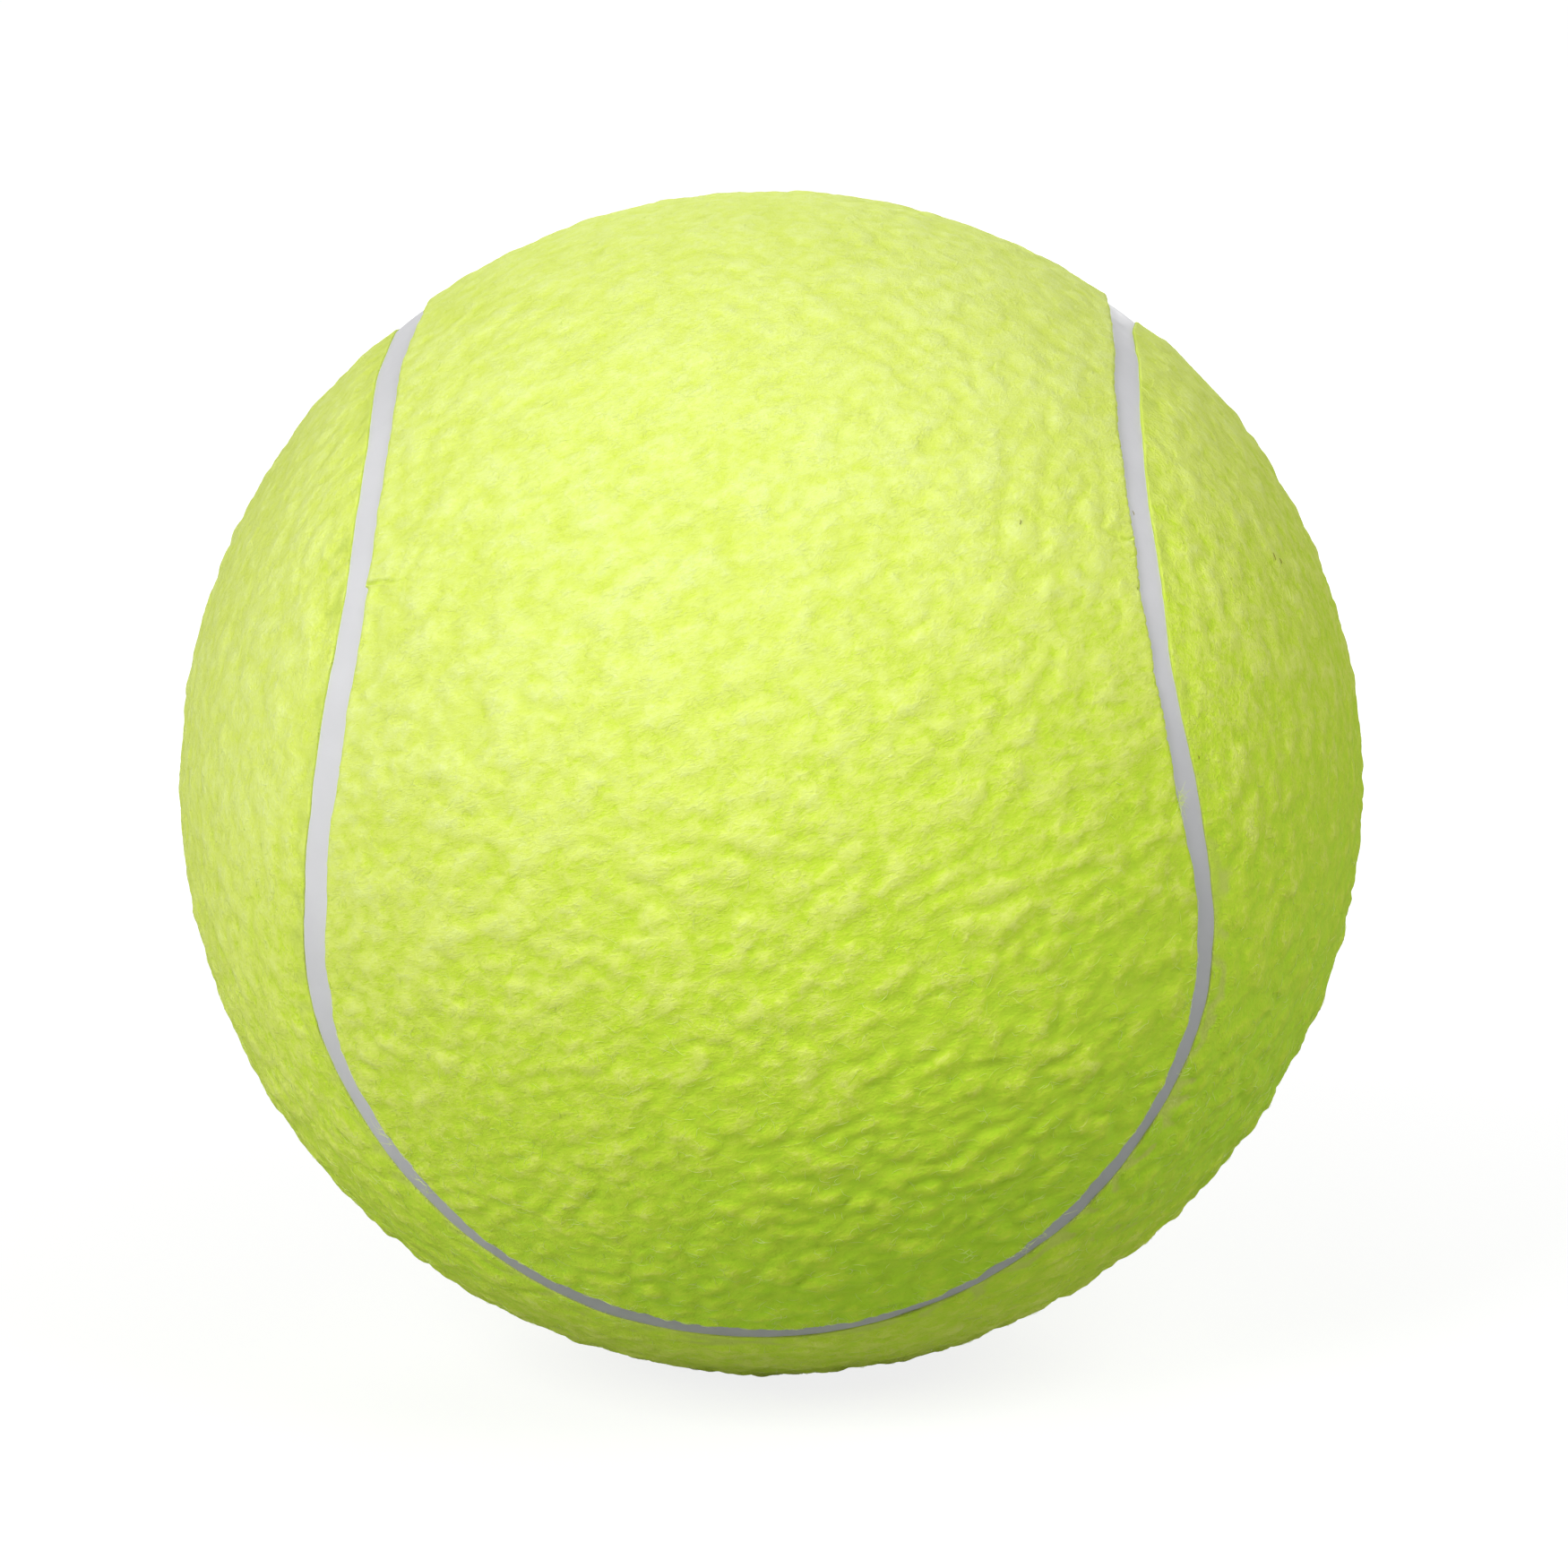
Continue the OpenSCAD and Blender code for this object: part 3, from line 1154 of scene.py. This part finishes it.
    def place_rim(self, obj: bpy.types.Object, chosen: np.ndarray, outset: float,
                  radius: float) -> None:
        """Set the newest ring of the rim to its place in the edge's profile.

        Args:
            obj: The panel.
            chosen: True for each vertex of the ring.
            outset: How far the ring stands out from the cut sheet's edge.
            radius: Distance of the ring from the ball's centre.
        """
        points = read_points(obj)
        ring = points[chosen]
        unit = units(ring)
        lobe = self.course.nearest_lobe(unit)
        axis = self.course.axes[lobe]
        base = np.array([self.edge_angle(x) for x in self.course.lobes])[lobe]
        own = np.array([x.panel is self.panel for x in self.course.lobes])[lobe]
        angle = base + np.where(own, 1.0, -1.0) * outset / SIZES.radius
        if self.panel is Panel.A:
            at_hole = (unit[:, 1] > 0) & (np.hypot(ring[:, 0], ring[:, 2]) < 4 * self.hole)
            axis[at_hole] = (0.0, 1.0, 0.0)
            angle[at_hole] = (self.hole - 0.5 * outset) / SIZES.radius
        across = units(unit - axis * (unit * axis).sum(axis=1, keepdims=True))
        points[chosen] = radius * (axis * np.cos(angle)[:, None] + across * np.sin(angle)[:, None])
        write_points(obj, points)

    def lay(self, obj: bpy.types.Object) -> None:
        """Let the edge wander as it was glued, with the small waves and teeth of its cut.

        Args:
            obj: The panel.
        """
        points = read_points(obj)
        across, toward = self.course.measure(points)
        near = np.abs(across) < self.laid + 4 * MM
        band = points[near]
        off = np.abs(across[near]) - SIZES.half_gap
        whole, edge = eased(1.0 - off / self.laid), eased(1.0 - off / self.frayed)
        ragged = EDGE_CUTS[self.panel].ragged(band)
        if self.panel is Panel.A:
            ragged += self.die_cut(band)
        shift = self.course.wander(band, self.panel) * whole + ragged * edge
        points[near] = band + toward[near] * shift[:, None]
        write_points(obj, points)

    def die_cut(self, band: np.ndarray) -> np.ndarray:
        """Nicks of a worn die in panel A's upper right edge, and the lips over its slits.

        Args:
            band: Places near the edge, one row each.

        Returns:
            How far the cut moves each place towards panel B.
        """
        place = self.course.along(band)
        first, last = self.nicks
        fade = 15 * MM
        worn = eased((place - first) / fade) * eased((last - place) / fade)
        beat = place / self.nick_step + 0.35 * cloud(band, 90.0, 5.0)
        bite = np.clip(np.cos(2 * math.pi * beat), 0.0, 1.0) ** 3
        shift = -self.nick_depth * worn * bite
        for slit in SLITS:
            mouth = np.array([slit.mouth]) * SIZES.radius
            past = np.abs(place) - abs(self.course.along(mouth)[0])
            if slit.mouth[1] > 0:
                past = -past
            near = np.linalg.norm(band - mouth, axis=1) < self.lip_zone
            lip = eased(past / (0.5 * MM) + 0.5) * np.exp(-(np.maximum(past, 0) / (5 * MM)) ** 2)
            shift += near * slit.lip * lip
        return shift

    def slit(self, obj: bpy.types.Object) -> None:
        """Cut the relief slits, which the stretched cloth has closed to dark lines.

        Args:
            obj: Panel A.
        """
        for cut in SLITS:
            mouth, tip = cut.line()
            distance, _ = beside(face_centres(obj), mouth, tip)
            pick(obj, distance < cut.finer)
            bpy.ops.mesh.subdivide(number_cuts=2)
            bpy.ops.object.mode_set(mode="OBJECT")
            points = read_points(obj)
            near = beside(points, mouth, tip)[0] < 2 * cut.finer
            band = points[near]
            side = np.cross(tip - mouth, mouth)
            side /= np.linalg.norm(side)
            bent = band + side * (cut.sway * cloud(band, 160.0, 3.0))[:, None]
            distance, share = beside(bent, mouth, tip)
            ajar = np.clip(1.0 - distance / (cut.gape * (1.0 - cut.taper * share)), 0.0, 1.0)
            depth = cut.steepness * cut.gape * np.clip(1.15 - share ** 2, 0.0, 1.0) * ajar ** 0.8
            radius = np.linalg.norm(band, axis=1)
            floor = np.minimum(radius, SIZES.radius - depth) / radius
            points[near] = band * np.where(ajar > 0, floor, 1.0)[:, None]
            write_points(obj, points)

    def crumple(self, obj: bpy.types.Object) -> None:
        """Press the crumples of the shrunk, glued cloth into the panel.

        Args:
            obj: The panel.
        """
        points = read_points(obj)
        radius = np.linalg.norm(points, axis=1)
        across, _ = self.course.measure(points)
        inner = np.abs(across - self.course.wander(points, self.panel)) - SIZES.half_gap
        right, top = points[:, 0] / radius, points[:, 2] / radius
        upper = eased((radius - SIZES.radius) / self.edge_drop + 1.0)
        upper *= self.edge_calm + (1.0 - self.edge_calm) * eased(inner / self.edge_width)
        on_top, low = eased((top - 0.5) / 0.35), eased((0.35 - top) / 1.2)
        rightwards = eased((right + 0.3) / 1.1)
        upper *= 1.0 - self.top_calm * on_top
        less, left = self.less_shrunk, self.left_shrunk
        shrunk = less + (1.0 - less) * low * (left + (1.0 - left) * rightwards)
        if self.panel is Panel.B:
            upper *= self.thin_calm
            width, drop = self.ramp
            cloth = np.clip((radius - SIZES.felt_back) / (1.0 * MM), 0.0, 1.0)
            sink = drop * (1.0 - eased(inner / width)) * cloth
            write_points(obj, points * (1.0 - sink / radius)[:, None])
        for name, weights in (("everywhere", upper), ("creased", upper * shrunk)):
            self.weigh(obj, name, weights)
        self.press(obj)
        if self.panel is Panel.A:
            self.fold(obj, Fold())

    def weigh(self, obj: bpy.types.Object, name: str, weights: np.ndarray,
              steps: int = 20) -> None:
        """Write a vertex group, in even steps of its weight.

        Args:
            obj: The panel.
            name: What the group is called.
            weights: One weight for each vertex, from 0 to 1.
            steps: How many steps there are from 0 to 1.
        """
        group = obj.vertex_groups.new(name=name)
        rounded = np.round(weights * steps).astype(int)
        for step in range(1, steps + 1):
            rows = np.flatnonzero(rounded == step)
            if len(rows):
                group.add(rows.tolist(), step / steps, "REPLACE")

    def press(self, obj: bpy.types.Object) -> None:
        """Raise the layers of the relief, by displacement.

        Args:
            obj: The panel, with the vertex groups that the layers name.
        """
        # An unseen guide squeezes the patterns, so that the crumples lie along the nap.
        lying = add_object("cloth_grain", None)
        lying.scale = tuple(1.0 / part for part in self.finish.nap.squeeze)
        lying.rotation_euler = self.finish.nap.turn
        bpy.context.view_layer.update()
        only(obj)
        for crease in CREASES:
            texture = bpy.data.textures.new(crease.name, "CLOUDS")
            texture.noise_basis, texture.noise_scale = "IMPROVED_PERLIN", crease.scale
            texture.noise_type, texture.noise_depth = crease.noise, crease.octaves - 1
            layer = obj.modifiers.new(crease.name, "DISPLACE")
            layer.texture, layer.vertex_group = texture, crease.group
            layer.texture_coords, layer.texture_coords_object = "OBJECT", lying
            layer.strength, layer.mid_level = crease.strength, crease.middle
            bpy.ops.object.modifier_apply(modifier=layer.name)
        bpy.data.objects.remove(lying)
        obj.vertex_groups.clear()

    def fold(self, obj: bpy.types.Object, fold: Fold) -> None:
        """Press the long fold down the front of panel A.

        Args:
            obj: Panel A.
            fold: The fold.
        """
        points = read_points(obj)
        near = (np.abs(points[:, 0]) < fold.zone) & (points[:, 1] < 0) & (points[:, 2] > 0)
        points[near] = fold.press(points[near])
        write_points(obj, points)

    def build(self) -> bpy.types.Object:
        """Make the panel, dress it and put it in its solid's place.

        Returns:
            The finished panel.
        """
        obj = self.sheet()
        self.turn_rim(obj)
        self.lay(obj)
        if self.panel is Panel.A:
            self.slit(obj)
        self.crumple(obj)
        finish_mesh(obj, f"{self.panel.value}_cloth")
        obj.data.materials.append(self.finish.material(self.panel.value))
        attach(obj, "root")
        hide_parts(self.panel.value)
        return obj


@dataclass
class Threads:
    """Thin threads, drawn as lines of one curve and then given thickness.

    Attributes:
        name: The name that their mesh gets.
        finish: Their material.
        thickness: How thick one thread is.
        roundness: How round its section is, 0 for a square.
        curve: The curve that the lines belong to.
    """

    name: str
    finish: FibreFinish | RubberFinish
    thickness: float
    roundness: int = 0
    curve: bpy.types.Curve = field(init=False)

    def __post_init__(self) -> None:
        """Start the curve."""
        self.curve = bpy.data.curves.new(self.name, "CURVE")
        self.curve.dimensions, self.curve.bevel_resolution = "3D", self.roundness
        self.curve.bevel_depth = 0.5 * self.thickness

    def thread(self, count: int) -> bpy.types.bpy_prop_collection:
        """Start a thread.

        Args:
            count: How many points it has.

        Returns:
            Its points, which are still to be placed.
        """
        line = self.curve.splines.new("POLY")
        line.points.add(count - 1)
        return line.points

    def mesh(self) -> bpy.types.Object:
        """Turn the threads into one mesh and dress it.

        Returns:
            The finished object.
        """
        obj = add_object(self.name, self.curve)
        only(obj)
        bpy.ops.object.convert(target="MESH")
        obj = finish_mesh(bpy.context.object, self.name)
        obj.data.materials.clear()
        obj.data.materials.append(self.finish.material(self.name))
        return obj


@dataclass
class LooseFibres:
    """Curled fibres that the brushed nap lets go, lying on one panel's felt.

    Attributes:
        cloth: The panel's felt.
        panel: Which panel it is.
        course: Course of the seam.
        finish: The fibres' material.
        count: How many lie on the felt.
        points: Points along one fibre.
        thickness: How thick a fibre is.
        seeds: Where each panel's chance begins.
        rare: Share of the places on the upper half that get a fibre.
        stride: Least and greatest distance between a fibre's points, in millimetres.
        arch: Least and greatest height of its arch over the felt, in millimetres.
        astray: How far fibres turn from the nap's direction, in radians.
        curl: How strongly they curl, in radians for each point.
        wobble: How unevenly they curl.
    """

    cloth: bpy.types.Object
    panel: Panel
    course: SeamCourse
    finish: FibreFinish
    count: int = 4000
    points: int = 6
    thickness: float = 0.07 * MM
    seeds: tuple[int, int] = (7, 11)
    rare: float = 0.04
    stride: tuple[float, float] = (0.25, 0.75)
    arch: tuple[float, float] = (0.02, 0.2)
    astray: float = 0.7
    curl: float = 0.28
    wobble: float = 0.25

    def starts(self, dice: random.Random) -> list[Vector]:
        """Where the fibres begin: anywhere on the felt, but mostly on its lower half.

        Args:
            dice: The source of chance.

        Returns:
            One place for each fibre.
        """
        rows = read_points(self.cloth)
        rows = rows[np.linalg.norm(rows, axis=1) > SIZES.radius - 0.8 * MM]
        picked: list[Vector] = []
        while len(picked) < self.count:
            place = Vector(rows[dice.randrange(len(rows))])
            low = float(eased(np.array(0.35 - place.z / SIZES.radius)))
            if dice.random() < self.rare + (1.0 - self.rare) * low:
                picked.append(place)
        return picked

    def build(self) -> bpy.types.Object:
        """Lay the fibres and pull the tufts out.

        Returns:
            All of them as one finished object.
        """
        dice = random.Random(self.seeds[0] if self.panel is Panel.A else self.seeds[1])
        mesh = self.cloth.data
        tree = BVHTree.FromPolygons([v.co for v in mesh.vertices],
                                    [tuple(p.vertices) for p in mesh.polygons])
        threads = Threads(f"{self.panel.value}_fibres", self.finish, self.thickness)
        for place in self.starts(dice):
            self.strand(threads, tree, place, dice)
        for tuft in TUFTS:
            if tuft.panel is self.panel:
                self.fray(threads, tuft, dice)
        obj = threads.mesh()
        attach(obj, "root")
        return obj

    def strand(self, threads: Threads, tree: BVHTree, place: Vector, dice: random.Random) -> None:
        """Lay one fibre on the felt.

        Args:
            threads: What collects the fibres.
            tree: The felt's surface, for finding its nearest point.
            place: Where the fibre begins.
            dice: The source of chance.
        """
        up = place.normalized()
        level = Vector((0, 0, 1)).cross(up) if abs(up.z) < 0.95 else Vector((1, 0, 0))
        level.normalize()
        side = up.cross(level)
        turn = dice.gauss(0.0 if self.panel is Panel.A else 0.5 * math.pi, self.astray)
        turn += math.pi if dice.random() < 0.5 else 0.0
        curl, step = dice.gauss(0.0, self.curl), dice.uniform(*self.stride) * MM
        arch = dice.uniform(*self.arch) * MM
        for k, point in enumerate(threads.thread(self.points)):
            share = k / (self.points - 1)
            spot, normal, _, _ = tree.find_nearest(place)
            lift = 0.01 * MM + arch * math.sin(math.pi * share) ** 1.5
            point.co = (*(spot + normal * lift), 1.0)
            point.radius = 1.0 - 0.55 * abs(2 * share - 1) ** 2
            place = spot + (level * math.cos(turn) + side * math.sin(turn)) * step
            turn += curl + dice.gauss(0.0, self.wobble)

    def fray(self, threads: Threads, tuft: Tuft, dice: random.Random) -> None:
        """Pull a tuft's fibres out of the felt's edge, over the seam.

        Args:
            threads: What collects the fibres.
            tuft: The tuft.
            dice: The source of chance.
        """
        way = 1.0 if self.panel is Panel.A else -1.0
        unit = units(np.array([tuft.at]))
        across, toward = self.course.measure(unit * SIZES.radius)
        edge = self.course.wander(unit * SIZES.radius, self.panel)[0] - way * SIZES.half_gap
        out = Vector(toward[0]) * way
        root = Vector(unit[0]) * SIZES.radius + Vector(toward[0]) * float(edge - across[0])
        along = Vector(unit[0]).cross(out)
        for _ in range(tuft.fibres):
            start = root + along * dice.gauss(0.0, tuft.spread) - out * dice.uniform(0.4, 1.4) * MM
            turn, curl = dice.gauss(0.0, 0.6), dice.gauss(0.0, 0.22)
            step = tuft.reach * dice.uniform(0.6, 1.2) / (self.points - 1)
            sink = dice.uniform(0.2, 0.9) * MM
            for k, point in enumerate(threads.thread(self.points)):
                share = k / (self.points - 1)
                level = SIZES.radius + 0.15 * MM - sink * share ** 2
                point.co = (*(start.normalized() * level), 1.0)
                point.radius = 1.0 - 0.5 * share
                start = start + (out * math.cos(turn) + along * math.sin(turn)) * step
                turn += curl


@dataclass
class Lint:
    """Dark and brownish specks of lint that stick to the felt and to the seam.

    Attributes:
        finish: Their material.
        spots: Direction and length of each.
        thickness: How thick they are.
        lift: How far over the felt's face they lie.
        bend: How far their middle is bent aside, as a share of their length.
        points: Points along one speck.
        seed: Where its chance begins.
    """

    finish: RubberFinish
    spots: tuple[tuple[Direction, float], ...] = (
        ((0.427, -0.719, 0.548), 1.1 * MM), ((0.606, -0.584, 0.540), 0.9 * MM),
        ((0.838, -0.337, 0.430), 1.6 * MM), ((0.845, -0.320, 0.418), 1.2 * MM),
        ((0.705, -0.690, 0.165), 0.7 * MM), ((0.48, 0.79, 0.38), 1.2 * MM),
        ((-0.76, 0.55, -0.34), 1.0 * MM))
    thickness: float = 0.18 * MM
    lift: float = 0.25 * MM
    bend: float = 0.12
    points: int = 5
    seed: int = 3

    def build(self) -> bpy.types.Object:
        """Make the specks as short bent threads.

        Returns:
            All of them as one finished object.
        """
        dice = random.Random(self.seed)
        threads = Threads("lint", self.finish, self.thickness, 1)
        for at, length in self.spots:
            up = Vector(at).normalized()
            level = Vector((0, 0, 1)).cross(up).normalized()
            turn = dice.uniform(0.9, 2.0)
            heading = level * math.cos(turn) + up.cross(level) * math.sin(turn)
            for k, point in enumerate(threads.thread(self.points)):
                share = k / (self.points - 1)
                spot = up * (SIZES.radius + self.lift) + heading * length * (share - 0.5)
                spot += heading.cross(up) * self.bend * length * math.sin(math.pi * share)
                point.co = (*spot, 1.0)
                point.radius = 1.0 - 0.4 * abs(2 * share - 1)
        obj = threads.mesh()
        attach(obj, "root")
        return obj


@dataclass
class SeamStrip:
    """The closed strip of light grey rubber between the felt panels.

    Attributes:
        course: Course of the seam.
        finish: Its rubber.
        turns: Steps in a full circle round a lobe.
        half_width: Half its width, with what lies hidden in the felt's edges.
        section: Its section, as shares of half_width across it, from its own lobe
            outwards, with the height over seam_top in millimetres.
        ripple: Height of its unevenness.
        weld: Distance within which the ends of two arcs become one.
    """

    course: SeamCourse
    finish: RubberFinish
    turns: int = 640
    half_width: float = 3.7 * MM
    section: tuple[tuple[float, float], ...] = (
        (-1.0, -0.9), (-0.98, -0.4), (-0.93, -0.1), (-0.8, 0.0), (-0.5, 0.05), (-0.17, 0.07),
        (0.17, 0.07), (0.5, 0.05), (0.8, 0.0), (0.93, -0.1), (0.98, -0.4), (1.0, -0.9))
    ripple: float = 0.16 * MM
    weld: float = 0.03 * MM

    def profile(self) -> list[tuple[float, float]]:
        """Angles from a lobe's axis to the steps of the section, with their radii."""
        return [(self.course.arc + share * self.half_width / SIZES.radius,
                 SIZES.seam_top + rise * MM) for share, rise in self.section]

    def arc(self, lobe: Lobe) -> bpy.types.Object:
        """Sweep the strip's section along one lobe's arc of the seam.

        Args:
            lobe: That lobe.

        Returns:
            The arc as a mesh object.
        """
        axis, flat = Vector(lobe.axis), np.array(lobe.axis)
        (first, reach), *others = self.profile()
        bpy.ops.object.select_all(action="DESELECT")
        bpy.ops.mesh.primitive_circle_add(vertices=self.turns, radius=reach * math.sin(first))
        obj = bpy.context.object
        obj.matrix_world = Matrix.Translation(
            axis * reach * math.cos(first)) @ axis.to_track_quat("Z", "Y").to_matrix().to_4x4()
        bpy.ops.object.transform_apply(location=True, rotation=True, scale=True)
        bpy.ops.object.mode_set(mode="EDIT")
        bpy.ops.mesh.select_all(action="SELECT")
        bpy.ops.mesh.bisect(plane_co=(0, 0, 0), plane_no=(0, 0, 1), clear_outer=lobe.below,
                            clear_inner=not lobe.below)
        bpy.ops.object.mode_set(mode="OBJECT")
        self.reach_ends(obj, lobe)
        pick(obj)
        bpy.ops.mesh.select_mode(type="EDGE")
        bpy.ops.mesh.select_all(action="SELECT")
        for angle, radius in others:
            bpy.ops.mesh.extrude_edges_indiv()
            chosen = selected_points(obj)
            points = read_points(obj)
            ring = points[chosen]
            out = units(ring - np.outer(ring @ flat, flat))
            points[chosen] = radius * (flat * math.cos(angle) + out * math.sin(angle))
            write_points(obj, points)
            bpy.ops.object.mode_set(mode="EDIT")
            bpy.ops.mesh.select_mode(type="EDGE")
        bpy.ops.object.mode_set(mode="OBJECT")
        return obj

    def reach_ends(self, obj: bpy.types.Object, lobe: Lobe) -> None:
        """Stretch an arc's first ring round its lobe, so that its ends meet the next arcs.

        Args:
            obj: The ring, cut off at the equator.
            lobe: The lobe that it runs round.
        """
        points, axis = read_points(obj), np.array(lobe.axis)
        middle = np.array([0.0, 0.0, -1.0 if lobe.below else 1.0])
        middle -= axis * (middle @ axis)
        middle /= np.linalg.norm(middle)
        side = np.cross(axis, middle)
        turn = np.arctan2(points @ side, points @ middle)
        turn *= self.course.meeting / np.abs(turn).max()
        out = np.outer(np.cos(turn), middle) + np.outer(np.sin(turn), side)
        height = points @ axis
        width = np.linalg.norm(points - np.outer(height, axis), axis=1)
        write_points(obj, np.outer(height, axis) + out * width[:, None])

    def build(self) -> bpy.types.Object:
        """Make the strip, let it wander with the felt and dress it.

        Returns:
            The finished strip.
        """
        arcs = [self.arc(lobe) for lobe in self.course.lobes]
        only(arcs[0])
        for arc in arcs[1:]:
            arc.select_set(True)
        bpy.ops.object.join()
        obj = arcs[0]
        bpy.ops.object.mode_set(mode="EDIT")
        bpy.ops.mesh.select_all(action="SELECT")
        bpy.ops.mesh.remove_doubles(threshold=self.weld)
        bpy.ops.mesh.normals_make_consistent(inside=False)
        bpy.ops.object.mode_set(mode="OBJECT")
        points = read_points(obj)
        across, toward = self.course.measure(points)
        share = np.clip(0.5 + 0.5 * across / SIZES.half_gap, 0.0, 1.0)
        shift = ((1.0 - share) * self.course.wander(points, Panel.A)
                 + share * self.course.wander(points, Panel.B))
        ripple = self.ripple * cloud(points, 95.0)
        write_points(obj, points + toward * shift[:, None] + units(points) * ripple[:, None])
        finish_mesh(obj, "seam_strip")
        obj.data.materials.append(self.finish.material("seam_rubber"))
        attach(obj, "root")
        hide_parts("seam_band")
        return obj


# ---- studio


def seen_from_front(azimuth: float, elevation: float) -> Vector:
    """A direction from the ball's centre.

    Args:
        azimuth: Angle to the right of the ball's front.
        elevation: Angle above its equator.

    Returns:
        The direction, with a length of 1.
    """
    flat = math.cos(elevation)
    return Vector((math.sin(azimuth) * flat, -math.cos(azimuth) * flat, math.sin(elevation)))


@dataclass(frozen=True)
class Lamp:
    """One square soft light that faces the ball.

    Attributes:
        name: What it is called.
        azimuth: Degrees to the right of the ball's front.
        elevation: Degrees above the ball's equator.
        watts: Its power.
        size: Length of its sides.
        distance: How far off it hangs.
    """

    name: str
    azimuth: float
    elevation: float
    watts: float
    size: float = 1.2
    distance: float = 2.4

    def hang(self) -> None:
        """Hang the lamp."""
        data = bpy.data.lights.new(self.name, "AREA")
        data.shape, data.size, data.energy = "SQUARE", self.size, self.watts
        lamp = add_object(self.name, data)
        way = seen_from_front(math.radians(self.azimuth), math.radians(self.elevation))
        lamp.location = way * self.distance
        lamp.rotation_euler = (-lamp.location).to_track_quat("-Z", "Y").to_euler()
        lamp.visible_camera = False


@dataclass
class Studio:
    """White floor, soft lights and the camera at the photograph's viewing angle.

    Attributes:
        azimuth: Angle of the camera to the right of the ball's front.
        elevation: Its angle above the ball's equator.
        roll: How far it leans.
        distance: How far from the ball's centre it stands.
        lens: Its focal length in millimetres.
        sensor: Width of its picture in millimetres.
        shift: How far the picture is shifted sideways and upwards.
        lamps: The lamps.
        floor_size: Length of the floor's sides.
        floor_grey: Colour of the floor for the light that it sends back to the ball.
        floor_shade: How strongly the floor shows the ball's shadow.
        glow_reach: Distances from the ball's foot between which the floor turns white.
        glow: The floor's own light at these distances.
        room_light: Strength of the light from all sides.
    """

    azimuth: float = math.radians(2.482)
    elevation: float = math.radians(10.761)
    roll: float = math.radians(-0.977)
    distance: float = 1.2958
    lens: float = 146.13
    sensor: float = 36.0
    shift: tuple[float, float] = (0.0080, -0.00097)
    lamps: tuple[Lamp, ...] = (Lamp("key", -36.0, 32.0, 45.0),
                               Lamp("right_fill", 50.0, 42.0, 28.5),
                               Lamp("back_fill", 178.0, 20.0, 26.0))
    floor_size: float = 16.0
    floor_grey: float = 0.54
    floor_shade: float = 0.22
    glow_reach: tuple[float, float] = (0.12, 0.7)
    glow: tuple[float, float] = (0.84, 1.0)
    room_light: float = 0.05

    def camera(self) -> None:
        """Set up the camera."""
        back = seen_from_front(self.azimuth, self.elevation)
        right = Vector((math.cos(self.azimuth), math.sin(self.azimuth), 0.0))
        up = back.cross(right)
        lean, upright = math.sin(self.roll), math.cos(self.roll)
        turned = Matrix([upright * right + lean * up, -lean * right + upright * up, back])
        data = bpy.data.cameras.new("camera")
        data.lens, data.sensor_width = self.lens, self.sensor
        data.shift_x, data.shift_y = self.shift
        data.clip_start, data.clip_end = 0.05, 50.0
        data.dof.use_dof = False
        camera = add_object("camera", data)
        place = Matrix.Translation(back * self.distance)
        camera.matrix_world = place @ turned.transposed().to_4x4()
        bpy.context.scene.camera = camera

    def floor(self) -> None:
        """Lay the floor under the ball."""
        bpy.ops.object.select_all(action="DESELECT")
        bpy.ops.mesh.primitive_plane_add(size=self.floor_size, location=(0, 0, -SIZES.radius))
        floor = bpy.context.object
        floor.name = "floor"
        s = Shader("floor")
        dull, white = (s.add("ShaderNodeBsdfDiffuse", {"Color": (grey, grey, grey, 1)})
                       for grey in (self.floor_grey, self.floor_shade))
        glow = s.add("ShaderNodeEmission",
                     {"Strength": s.spread(s.from_centre(), *self.glow_reach, *self.glow)})
        bright = s.add("ShaderNodeAddShader", {0: white.outputs[0], 1: glow.outputs[0]})
        both = s.add("ShaderNodeMixShader", {0: s.seen(), 1: dull.outputs[0], 2: bright.outputs[0]})
        s.add("ShaderNodeOutputMaterial", {"Surface": both.outputs[0]})
        floor.data.materials.append(s.material)

    def world(self) -> None:
        """Fill the room with a little soft light, white where the camera looks."""
        world = bpy.data.worlds.new("room")
        world.use_nodes = True
        bpy.context.scene.world = world
        tree = NodeTree(world.node_tree)
        soft = tree.add("ShaderNodeBackground", {"Strength": self.room_light})
        white = tree.add("ShaderNodeBackground", {"Color": (1, 1, 1, 1)})
        both = tree.add("ShaderNodeMixShader",
                        {0: tree.seen(), 1: soft.outputs[0], 2: white.outputs[0]})
        tree.add("ShaderNodeOutputWorld", {0: both.outputs[0]})

    def build(self) -> None:
        """Set up the whole studio."""
        self.camera()
        self.floor()
        self.world()
        for lamp in self.lamps:
            lamp.hang()
        bpy.context.scene.view_settings.view_transform = "Standard"


def dress_inside() -> None:
    """Give the solids that stay, inside the ball, the finish of their rubber."""
    for node, finish in INSIDE.items():
        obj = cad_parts[node]
        obj.data.materials.clear()
        obj.data.materials.append(finish.material(node))


def report(piece: bpy.types.Object) -> None:
    """Say in the log how many faces a finished piece has."""
    LOG.info("%s: %d faces", piece.name, len(piece.data.polygons))


def main() -> None:
    """Build the ball's pieces in order and set them in the studio."""
    logging.basicConfig(level=logging.INFO, format="%(name)s: %(message)s")
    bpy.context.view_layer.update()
    course = SeamCourse()
    for panel, finish in FELTS.items():
        cloth = FeltPanel(panel, course, finish).build()
        fibres = LooseFibres(cloth, panel, course, FibreFinish()).build()
        report(cloth)
        report(fibres)
    report(SeamStrip(course, SEAM_GREY).build())
    report(Lint(LINT_BROWN).build())
    dress_inside()
    Studio().build()


if __name__ == "__main__":
    main()
